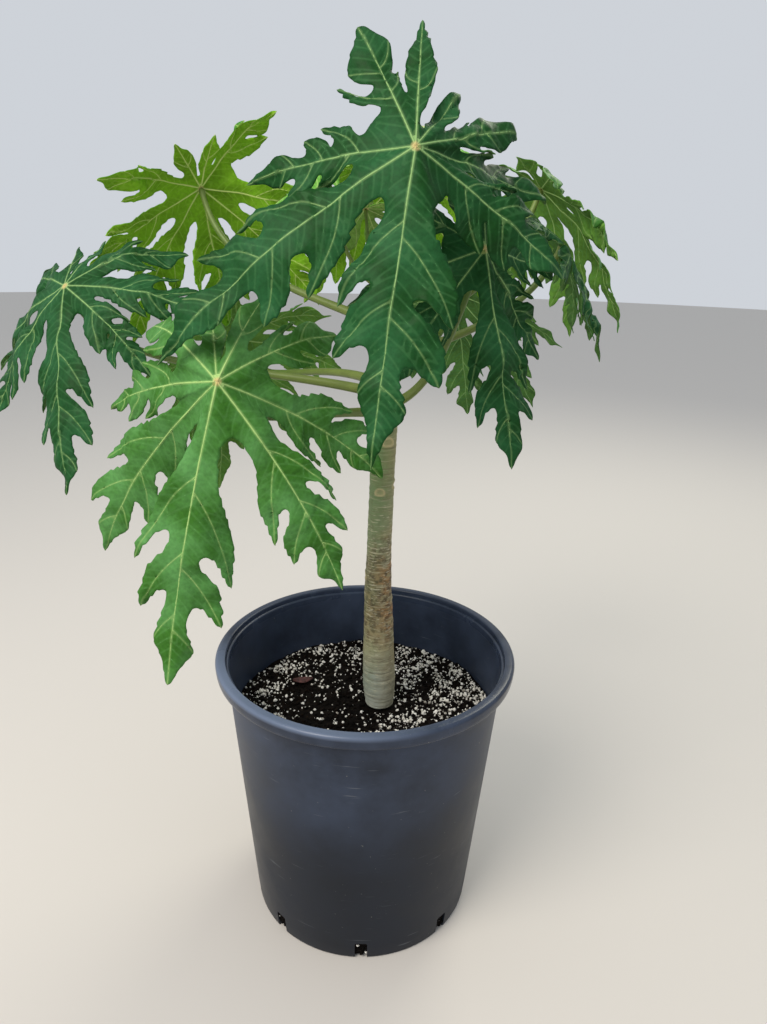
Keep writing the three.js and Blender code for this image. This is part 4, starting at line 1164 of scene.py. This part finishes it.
def pot_material():
    """Moulded black polypropylene: satin, with a film of dust, water marks, fine scuffs and a painted rim
    highlight.
    """
    material, tree = new_material("moulded_black_polypropylene")
    place = add_node(tree, "ShaderNodeTexCoord").outputs["Object"]
    height = add_node(tree, "ShaderNodeSeparateXYZ", {0: place}).outputs[2]
    # a bluish film in clouds of a hand's breadth, thicker towards the rim
    clouds = add_node(tree, "ShaderNodeTexNoise", {"Vector": place, "Scale": 7.0, "Detail": 5.0,
                                                   "Roughness": 0.62})
    above = add_node(tree, "ShaderNodeMapRange", {"Value": height, "From Min": 0.14, "From Max": 0.42,
                                                  "To Min": 0.16, "To Max": 1.05},
                     interpolation_type="SMOOTHSTEP")
    film = add_node(tree, "ShaderNodeMapRange", {"Value": clouds.outputs[0], "From Min": 0.20,
                                                 "From Max": 0.74, "To Max": above.outputs[0]})
    # specks of dried mud, 1 to 3 mm
    specks = add_node(tree, "ShaderNodeTexNoise", {"Vector": place, "Scale": 230.0, "Detail": 2.0})
    speck = add_node(tree, "ShaderNodeMapRange", {"Value": specks.outputs[0], "From Min": 0.74,
                                                  "From Max": 0.80, "To Max": 0.5})
    # scuffs from handling, long and thin, leaning
    lean = add_node(tree, "ShaderNodeMapping", {"Vector": place, "Rotation": (0.3, 0.2, 0.5),
                                                "Scale": (18.0, 18.0, 260.0)})
    scuffs = add_node(tree, "ShaderNodeTexNoise", {"Vector": lean.outputs[0], "Scale": 1.0, "Detail": 2.0})
    scuff = add_node(tree, "ShaderNodeMapRange", {"Value": scuffs.outputs[0], "From Min": 0.70,
                                                  "From Max": 0.78, "To Max": 0.35})
    # painted highlight: the top of the rim's roll, and the lip inside it, is painted paler on the side
    # that faces the key light
    facing = add_node(tree, "ShaderNodeVectorMath", {0: place, 1: (-0.62, -0.78, 0.0)},
                      operation="DOT_PRODUCT")
    toward_key_light = add_node(tree, "ShaderNodeMapRange", {"Value": facing.outputs["Value"], "From Min": 0.10,
                                                    "From Max": RIM_RADIUS, "To Max": 0.75})
    roll = add_node(tree, "ShaderNodeMapRange", {"Value": height, "From Min": POT_HEIGHT - 0.008,
                                                 "From Max": POT_HEIGHT - 0.002})
    painted_rim_highlight = add_node(tree, "ShaderNodeMath", {0: toward_key_light.outputs[0], 1: roll.outputs[0]},
                      operation="MULTIPLY")
    # dust film, mud specks and scuffs, then the painted highlight on the rim's roll
    colour = linear("#0e131b")
    for amount, over in ((film, "#3f4a5f"), (speck, "#8b8a82"), (scuff, "#767b80"), (painted_rim_highlight, "#76849d")):
        colour = add_node(tree, "ShaderNodeMix", {0: amount.outputs[0], 6: colour, 7: linear(over)},
                          data_type="RGBA").outputs[2]
    # duller under the film, and polished by hands at the rim
    gloss = add_node(tree, "ShaderNodeMapRange", {"Value": clouds.outputs[0], "From Min": 0.3,
                                                  "From Max": 0.7, "To Min": 0.32, "To Max": 0.50})
    rim = add_node(tree, "ShaderNodeMapRange", {"Value": height, "From Min": POT_HEIGHT - RIM_DROP,
                                                "From Max": POT_HEIGHT - RIM_DROP + 0.003,
                                                "To Max": 0.16})
    polish = add_node(tree, "ShaderNodeMath", {0: gloss.outputs[0], 1: rim.outputs[0]}, operation="SUBTRACT")
    # the grain of the mould, finer in life and drawn at about 1 mm so that it shows
    grain = add_node(tree, "ShaderNodeTexNoise", {"Vector": place, "Scale": 900.0, "Detail": 1.0})
    relief = add_node(tree, "ShaderNodeBump", {"Height": grain.outputs[0], "Strength": 0.12,
                                               "Distance": 0.0002})
    close_material(tree, {"Base Color": colour, "Roughness": polish.outputs[0],
                          "Normal": relief.outputs[0], "IOR": 1.49, "Specular IOR Level": 0.25})
    return material


def mix_material():
    """Moist peat and coir: near black crumbs with brown fibres."""
    material, tree = new_material("moist_peat_and_coir")
    place = add_node(tree, "ShaderNodeTexCoord").outputs["Object"]
    # crumbs about 5 mm wide, and their own finer grain
    crumbs = add_node(tree, "ShaderNodeTexNoise", {"Vector": place, "Scale": 190.0, "Detail": 6.0,
                                                   "Roughness": 0.7})
    colour = add_node(tree, "ShaderNodeValToRGB", {"Fac": crumbs.outputs[0]},
                      ramp=[(0.36, linear("#050403")), (0.54, linear("#0f0b09")), (0.66, linear("#21170f")),
                            (0.80, linear("#3d2c1e"))])
    relief = add_node(tree, "ShaderNodeBump", {"Height": crumbs.outputs[0], "Strength": 1.0,
                                               "Distance": 0.004})
    close_material(tree, {"Base Color": colour.outputs[0], "Roughness": 0.93,
                          "Normal": relief.outputs[0], "Specular IOR Level": 0.1})
    return material


def perlite_material():
    """Expanded perlite: white, porous and chalky grains, some stained by the peat."""
    material, tree = new_material("expanded_perlite")
    place = add_node(tree, "ShaderNodeTexCoord").outputs["Object"]
    # stains 8 mm wide take in a grain or two, and pores are under 1 mm
    stain = add_node(tree, "ShaderNodeTexNoise", {"Vector": place, "Scale": 120.0, "Detail": 2.0})
    colour = add_node(tree, "ShaderNodeValToRGB", {"Fac": stain.outputs[0]},
                      ramp=[(0.30, linear("#8f8a80")), (0.46, linear("#d8d6cf")), (0.7, linear("#efeeea"))])
    pores = add_node(tree, "ShaderNodeTexNoise", {"Vector": place, "Scale": 1400.0})
    relief = add_node(tree, "ShaderNodeBump", {"Height": pores.outputs[0], "Strength": 0.5,
                                               "Distance": 0.0004})
    close_material(tree, {"Base Color": colour.outputs[0], "Roughness": 0.9,
                          "Normal": relief.outputs[0]})
    return material


def dry_leaf_material():
    """A dry fallen leaf: dull red-brown, papery, in blotches about 7 mm wide."""
    material, tree = new_material("dry_fallen_leaf")
    place = add_node(tree, "ShaderNodeTexCoord").outputs["Object"]
    blotch = add_node(tree, "ShaderNodeTexNoise", {"Vector": place, "Scale": 150.0, "Detail": 3.0})
    colour = add_node(tree, "ShaderNodeValToRGB", {"Fac": blotch.outputs[0]},
                      ramp=[(0.35, linear("#2e1716")), (0.55, linear("#472524")), (0.75, linear("#633932"))])
    close_material(tree, {"Base Color": colour.outputs[0], "Roughness": 0.75})
    return material


def floor_material(colour):
    """A plain matt painted floor."""
    material, tree = new_material("plain_matt_floor")
    close_material(tree, {"Base Color": colour, "Roughness": 0.9})
    return material


# Settings.


class PapayaPotSettings(bpy.types.PropertyGroup):
    wall: FloatProperty(name="Wall", description="Thickness of the pot's wall", default=POT_WALL,
                        unit="LENGTH")
    segments: IntProperty(name="Segments", description="Steps of the spin round the pot", default=192)


class PapayaMixSettings(bpy.types.PropertyGroup):
    grains: IntProperty(name="Perlite grains", description="White grains on the mix", default=5000)
    crumbs: IntProperty(name="Crumbs", description="Dark crumbs on the mix", default=4200)
    relief: FloatProperty(name="Relief", description="Height of the lumps in the mix", default=0.005,
                          unit="LENGTH")
    seed: IntProperty(name="Seed", description="Draw of the scattered grains", default=4)


class PapayaTrunkSettings(bpy.types.PropertyGroup):
    rings: FloatProperty(name="Rings", description="Depth of the rings in the bark", default=0.0007,
                         unit="LENGTH")
    ring_step: FloatProperty(name="Ring step", description="Spacing of the mesh up the trunk",
                             default=0.0016, unit="LENGTH")
    segments: IntProperty(name="Segments", description="Steps of the spin round the trunk", default=96)


class PapayaLeafSettings(bpy.types.PropertyGroup):
    mesh_step: FloatProperty(name="Mesh step", description="Spacing of the blade's points",
                             default=0.0028, unit="LENGTH")
    thickness: FloatProperty(name="Thickness", description="Thickness of the blade", default=0.0009,
                             unit="LENGTH")
    tooth_depth: FloatProperty(name="Tooth depth", description="Depth of the teeth on the margin",
                               default=0.0026, unit="LENGTH")
    quilting: FloatProperty(name="Quilting", description="Rise of the blade between its veins",
                            default=0.0014, unit="LENGTH")
    ruffle: FloatProperty(name="Ruffle", description="Rise and fall of the margin", default=0.011,
                          unit="LENGTH")
    wave: FloatProperty(name="Wave", description="Slow waves over the blade", default=0.008,
                        unit="LENGTH")
    roughness: FloatProperty(name="Roughness", description="Roughness of the waxy upper side",
                             default=0.46, subtype="FACTOR")


class PapayaStageSettings(bpy.types.PropertyGroup):
    floor_colour: FloatVectorProperty(name="Floor", description="Colour of the floor", size=4,
                                      subtype="COLOR", default=linear("#cbc7c1"))
    sky_strength: FloatProperty(name="Sky", description="Strength of the soft light all round",
                                default=0.78)
    key_power: FloatProperty(name="Key light", description="Power of the large front light",
                             default=115.0, unit="POWER")


# Operators.


class PapayaAddPot(bpy.types.Operator):
    """Spins the pot with its rolled rim and cuts the drain slots"""
    bl_idname = "papaya.add_pot"
    bl_label = "Pot"

    def execute(self, context):
        settings = context.scene.papaya_pot
        piece = spun_piece("pot_shell", pot_profile(settings.wall), settings.segments, pot_material())
        cutter = slot_cutter()
        cut = piece.modifiers.new("slots", "BOOLEAN")
        cut.operation = "DIFFERENCE"
        cut.object = cutter
        select_only(piece)
        bpy.ops.object.modifier_apply(modifier=cut.name)
        bpy.data.objects.remove(cutter)
        bpy.ops.object.shade_smooth_by_angle(angle=radians(28))
        finish_piece(piece, "pot", "pot")
        return {"FINISHED"}


class PapayaAddMix(bpy.types.Operator):
    """Fills the pot with mix and scatters crumbs, perlite and a fallen leaf on it"""
    bl_idname = "papaya.add_mix"
    bl_label = "Potting mix"

    def execute(self, context):
        settings = context.scene.papaya_mix
        edge = wall_radius(SOIL_LEVEL) - MIX_INSET
        floor = POT_FLOOR + SOLID_GAP * MM
        profile = [(0, floor), (wall_radius(floor) - MIX_INSET - 0.002, floor)]
        top = SOIL_LEVEL - settings.relief
        profile += [(wall_radius(height) - MIX_INSET, height)
                    for height in (0.01, 0.1, 0.2, 0.3, top - 0.002)]
        profile += [(edge * share, top) for share in np.linspace(1, 0, MIX_RINGS)]
        body = spun_piece("mix_body", profile, MIX_SEGMENTS, mix_material())
        for vertex in body.data.vertices:
            if vertex.co.z > top - 0.001:
                vertex.co.z += mix_height(vertex.co.x, vertex.co.y, settings.relief)
        select_only(body)
        bpy.ops.object.shade_smooth()
        finish_piece(body, "potting_mix", "potting_mix")
        rng = np.random.default_rng(settings.seed)
        self.scatter(rng, "mix_crumbs", settings.crumbs, CRUMB_RADII, body.data.materials[0],
                     settings.relief, even=True)
        self.scatter(rng, "perlite_grains", settings.grains, GRAIN_RADII, perlite_material(),
                     settings.relief, even=False)
        self.fallen_leaf(settings.relief)
        return {"FINISHED"}

    def scatter(self, rng, name, count, sizes, material, relief, even):
        """Many small lumps, each a shaken ball of a few dozen faces, joined in one mesh."""
        bpy.ops.object.select_all(action="DESELECT")
        bpy.ops.mesh.primitive_uv_sphere_add(segments=6, ring_count=4, radius=1)
        ball = bpy.context.object
        ball.data.calc_loop_triangles()
        corners = np.array([vertex.co for vertex in ball.data.vertices])
        triangles = np.array([face.vertices for face in ball.data.loop_triangles])
        bpy.data.objects.remove(ball)
        trunk_x = trunk_axis_x(TRUNK_FOOT / MM) * MM
        top = SOIL_LEVEL - relief
        edge = wall_radius(SOIL_LEVEL) - MIX_INSET
        in_slots = DRAIN_SLOTS * (CRUMBS_PER_SLOT if even else GRAINS_PER_SLOT)
        points, faces = [], []
        while len(points) < count:
            x, y = rng.uniform(-edge, edge, 2)
            radius = sizes[0] + (sizes[1] - sizes[0]) * rng.uniform() ** 1.7
            draw = rng.uniform()
            if math.hypot(x, y) > edge - radius - 0.001 or math.hypot(x - trunk_x, y) < TRUNK_ROOM:
                continue
            if not even and draw > perlite_density(x, y):
                continue
            shape = corners * (1 + rng.uniform(-0.34, 0.34, (len(corners), 1)))
            shape = shape * rng.uniform(0.65, 1.15, 3) * radius
            turn = np.array(Matrix.Rotation(rng.uniform(0, 6.28), 3, Vector(rng.normal(size=3))))
            height = top + mix_height(x, y, relief) + radius * rng.uniform(-0.1, 0.45)
            place = (x, y, min(height, SOIL_LEVEL + 0.001))
            if len(points) < in_slots:
                place = self.place_in_slot(rng, len(points) % DRAIN_SLOTS)
            faces.append(triangles + len(corners) * len(points))
            points.append(shape @ turn.T + place)
        piece = mesh_piece(name, np.concatenate(points), np.concatenate(faces).tolist(), material)
        finish_piece(piece, "potting_mix")

    def place_in_slot(self, rng, slot):
        """A place against the mix that shows through a drain slot."""
        turn = slot * 2 * math.pi / DRAIN_SLOTS
        height = rng.uniform(0.006, SLOT_HEIGHT)
        away = wall_radius(height) - POT_WALL - 0.001
        aside = rng.uniform(-0.55, 0.55) * SLOT_WIDTH
        return (away * math.cos(turn) - aside * math.sin(turn),
                away * math.sin(turn) + aside * math.cos(turn), height)

    def fallen_leaf(self, relief):
        """One small dry leaf that lies on the mix left of the trunk."""
        middle_x, middle_y = -0.104, 0.058
        length, width, turn = 0.032, 0.015, radians(12)
        ground = SOIL_LEVEL - relief + mix_height(middle_x, middle_y, relief)
        bpy.ops.object.select_all(action="DESELECT")
        bpy.ops.mesh.primitive_grid_add(x_subdivisions=16, y_subdivisions=8, size=2)
        piece = bpy.context.object
        piece.name = piece.data.name = "fallen_leaf"
        for vertex in piece.data.vertices:
            along, across = vertex.co.x, vertex.co.y
            half = width / 2 * (1 - abs(along) ** 2.2) + 0.0008
            x, y = along * length / 2, across * half
            lift = 0.0035 + 0.004 * across * across + 0.003 * along * along
            vertex.co = (middle_x + x * math.cos(turn) - y * math.sin(turn),
                         middle_y + x * math.sin(turn) + y * math.cos(turn), ground + lift)
        thick = piece.modifiers.new("thickness", "SOLIDIFY")
        thick.thickness = 0.0006
        select_only(piece)
        bpy.ops.object.modifier_apply(modifier=thick.name)
        piece.data.materials.append(dry_leaf_material())
        bpy.ops.object.shade_smooth()
        finish_piece(piece, "potting_mix")


class PapayaAddTrunk(bpy.types.Operator):
    """Spins the trunk and cuts the rings and leaf scars into its bark"""
    bl_idname = "papaya.add_trunk"
    bl_label = "Trunk"

    def execute(self, context):
        settings = context.scene.papaya_trunk
        heights = np.arange(TRUNK_FOOT, TRUNK_FOOT + TRUNK_SHOULDER, settings.ring_step)
        radii = np.interp((heights - TRUNK_FOOT) / MM, *zip(*TRUNK_GIRTH))
        kernel = np.hanning(19)
        kernel /= kernel.sum()
        radii = np.convolve(np.pad(radii, len(kernel) // 2, mode="edge"), kernel, mode="valid") * MM
        profile = [(0, TRUNK_FOOT)] + list(zip(radii, heights))
        tip = TRUNK_TIP - heights[-1]
        profile += [(radii[-1] * math.cos(turn), heights[-1] + tip * math.sin(turn))
                    for turn in np.radians([22, 45, 66])] + [(0, TRUNK_TIP)]
        piece = spun_piece("trunk_bark", profile, settings.segments, bark_material())
        self.carve(piece.data, settings.rings)
        select_only(piece)
        bpy.ops.object.shade_smooth()
        finish_piece(piece, "trunk", "trunk")
        return {"FINISHED"}

    def carve(self, mesh, depth):
        """Moves the spun surface by its rings, bulges and scars, and leans it along the trunk's axis."""
        points = np.array([vertex.co for vertex in mesh.vertices])
        heights = points[:, 2].copy()
        turns = np.arctan2(points[:, 1], points[:, 0])
        radius = np.hypot(points[:, 0], points[:, 1])
        growth = np.array([noise.noise((math.cos(t) * 0.35, math.sin(t) * 0.35, z * 150))
                           + 0.6 * noise.noise((math.cos(t) * 0.8, math.sin(t) * 0.8, z * 420))
                           for t, z in zip(turns, heights)])
        bulge = np.array([noise.noise((math.cos(t), math.sin(t), z * 9)) for t, z in zip(turns, heights)])
        outward = depth * growth + BULGE_DEPTH * bulge
        scar = np.zeros(len(points))
        for turn, height, width, tall in leaf_scars():
            across = ((turns - turn + math.pi) % (2 * math.pi) - math.pi) * radius / (0.5 * width)
            up = (heights - height) / (0.5 * tall)
            shield = np.hypot(across, up + 0.25 * across**2)
            edge = np.exp(-((shield - 1) / 0.22) ** 2)
            scar = np.maximum(scar, 0.85 * edge + 0.3 * (shield < 0.8))
            outward += SCAR_RIM * edge - SCAR_DIP * (shield < 0.75)
        outward[radius < 1e-5] = 0
        fade = smooth_step(0, 0.004, heights - TRUNK_FOOT)
        away = np.column_stack([np.cos(turns), np.sin(turns)]) * (outward * fade)[:, None]
        points[:, :2] += away
        points[:, 0] += [trunk_axis_x(z / MM) * MM for z in heights]
        mesh.vertices.foreach_set("co", points.ravel())
        add_attribute(mesh, "scar", "FLOAT", scar)
        mesh.update()


class PapayaAddStalks(bpy.types.Operator):
    """Draws each leaf stalk as a curve that swells where it leaves the trunk"""
    bl_idname = "papaya.add_stalks"
    bl_label = "Leaf stalks"

    def execute(self, context):
        material = stalk_material()
        for leaf in CROWN:
            path, length = stalk_path(leaf)
            bpy.ops.object.select_all(action="DESELECT")
            bpy.ops.curve.primitive_bezier_curve_add()
            curve = bpy.context.object.data
            curve.splines.clear()
            spline = curve.splines.new("POLY")
            spline.points.add(len(path) - 1)
            radii = stalk_radii(len(path), length, YOUNG_STALK_SHARE if leaf.get("young") else 1)
            for point, place, radius in zip(spline.points, path * MM, radii * MM):
                point.co = (*place, 1)
                point.radius = radius
            curve.dimensions = "3D"
            curve.bevel_depth = 1.0
            curve.bevel_resolution = 5
            curve.use_fill_caps = True
            bpy.ops.object.convert(target="MESH")
            piece = bpy.context.object
            piece.name = piece.data.name = "petiole_" + leaf["name"]
            bpy.ops.object.mode_set(mode="EDIT")
            weld_and_face_out()
            tree = search_tree(path * MM)
            along = [tree.find(vertex.co)[1] / (len(path) - 1) for vertex in piece.data.vertices]
            add_attribute(piece.data, "along", "FLOAT", along)
            piece.data.materials.clear()
            piece.data.materials.append(material)
            bpy.ops.object.shade_smooth()
            finish_piece(piece, "stalks", "stalk_" + leaf["name"])
        return {"FINISHED"}


class PapayaAddLeaves(bpy.types.Operator):
    """Grows each leaf's blade with its lobes, teeth and veins"""
    bl_idname = "papaya.add_leaves"
    bl_label = "Leaves"

    def execute(self, context):
        settings = context.scene.papaya_leaves
        materials = {name: leaf_material("papaya_leaf_" + name, colours, settings)
                     for name, colours in LEAF_FINISHES.items()}
        for leaf in CROWN:
            points, faces, values = build_leaf(leaf, settings)
            piece = mesh_piece("leaf_" + leaf["name"], points, faces, materials[leaf["finish"]])
            for name, rows in values.items():
                add_attribute(piece.data, name, "FLOAT_VECTOR" if name == "plan" else "FLOAT", rows)
            finish_piece(piece, "blades", "blade_" + leaf["name"])
        return {"FINISHED"}


class PapayaAddStage(bpy.types.Operator):
    """Sets the floor, the soft light and the camera"""
    bl_idname = "papaya.add_stage"
    bl_label = "Stage"

    def execute(self, context):
        settings = context.scene.papaya_stage
        bpy.ops.object.select_all(action="DESELECT")
        bpy.ops.mesh.primitive_circle_add(vertices=96, radius=FLOOR_RADIUS, fill_type="NGON")
        floor = bpy.context.object
        floor.name = "floor"
        floor.data.materials.append(floor_material(settings.floor_colour[:]))
        world = bpy.data.worlds.new("soft_sky")
        world.use_nodes = True
        background = world.node_tree.nodes["Background"]
        background.inputs["Color"].default_value = linear("#e6ebf2")
        background.inputs["Strength"].default_value = settings.sky_strength
        context.scene.world = world
        context.scene.view_settings.view_transform = "Standard"
        for name, (place, size, share, colour) in LIGHTS.items():
            self.light(name, place, size, share * settings.key_power, colour)
        self.camera(context)
        return {"FINISHED"}

    def light(self, name, place, size, power, colour):
        """A soft round light that points at the middle of the plant."""
        lamp = bpy.data.lights.new(name, "AREA")
        lamp.shape = "DISK"
        lamp.size = size
        lamp.energy = power
        lamp.color = linear(colour)[:3]
        holder = bpy.data.objects.new(name, lamp)
        holder.location = place
        aim = Vector(LIGHTS_AIM) - holder.location
        holder.rotation_euler = aim.to_track_quat("-Z", "Y").to_euler()
        bpy.context.scene.collection.objects.link(holder)

    def camera(self, context):
        """The photograph's eye point: about a metre up and a metre in front of the pot, looking down."""
        pitch, yaw, roll = radians(CAMERA_PITCH), radians(CAMERA_YAW), radians(CAMERA_ROLL)
        forward = Vector((math.sin(yaw) * math.cos(pitch), math.cos(yaw) * math.cos(pitch), -math.sin(pitch)))
        level = forward.cross(Vector((0, 0, 1))).normalized()
        up = level.cross(forward)
        right = level * math.cos(roll) + up * math.sin(roll)
        top = up * math.cos(roll) - level * math.sin(roll)
        lens = bpy.data.cameras.new("camera")
        lens.lens = CAMERA_LENS
        lens.sensor_width = CAMERA_SENSOR
        holder = bpy.data.objects.new("camera", lens)
        turn = Matrix((right, top, -forward)).transposed()
        holder.matrix_world = Matrix.Translation(CAMERA_PLACE) @ turn.to_4x4()
        context.scene.collection.objects.link(holder)
        context.scene.camera = holder


class PapayaPanel(bpy.types.Panel):
    """Buttons and sizes of the plant"""
    bl_idname = "VIEW3D_PT_papaya"
    bl_label = "Papaya tree"
    bl_space_type = "VIEW_3D"
    bl_region_type = "UI"
    bl_category = "Papaya"

    def draw(self, context):
        for operator, group in STEPS:
            box = self.layout.box()
            box.operator(operator.bl_idname)
            if group:
                settings = getattr(context.scene, group)
                for name in settings.__annotations__:
                    box.prop(settings, name)


STEPS = [
    (PapayaAddStage, "papaya_stage"),
    (PapayaAddPot, "papaya_pot"),
    (PapayaAddMix, "papaya_mix"),
    (PapayaAddTrunk, "papaya_trunk"),
    (PapayaAddStalks, None),
    (PapayaAddLeaves, "papaya_leaves"),
]
SETTINGS = {
    "papaya_stage": PapayaStageSettings,
    "papaya_pot": PapayaPotSettings,
    "papaya_mix": PapayaMixSettings,
    "papaya_trunk": PapayaTrunkSettings,
    "papaya_leaves": PapayaLeafSettings,
}


def register():
    for name, group in SETTINGS.items():
        bpy.utils.register_class(group)
        setattr(bpy.types.Scene, name, PointerProperty(type=group))
    for operator, _ in STEPS:
        bpy.utils.register_class(operator)
    bpy.utils.register_class(PapayaPanel)


def unregister():
    bpy.utils.unregister_class(PapayaPanel)
    for operator, _ in reversed(STEPS):
        bpy.utils.unregister_class(operator)
    for name, group in SETTINGS.items():
        delattr(bpy.types.Scene, name)
        bpy.utils.unregister_class(group)


def main():
    register()
    for operator, _ in STEPS:
        group, name = operator.bl_idname.split(".")
        getattr(getattr(bpy.ops, group), name)()


if __name__ == "__main__":
    main()
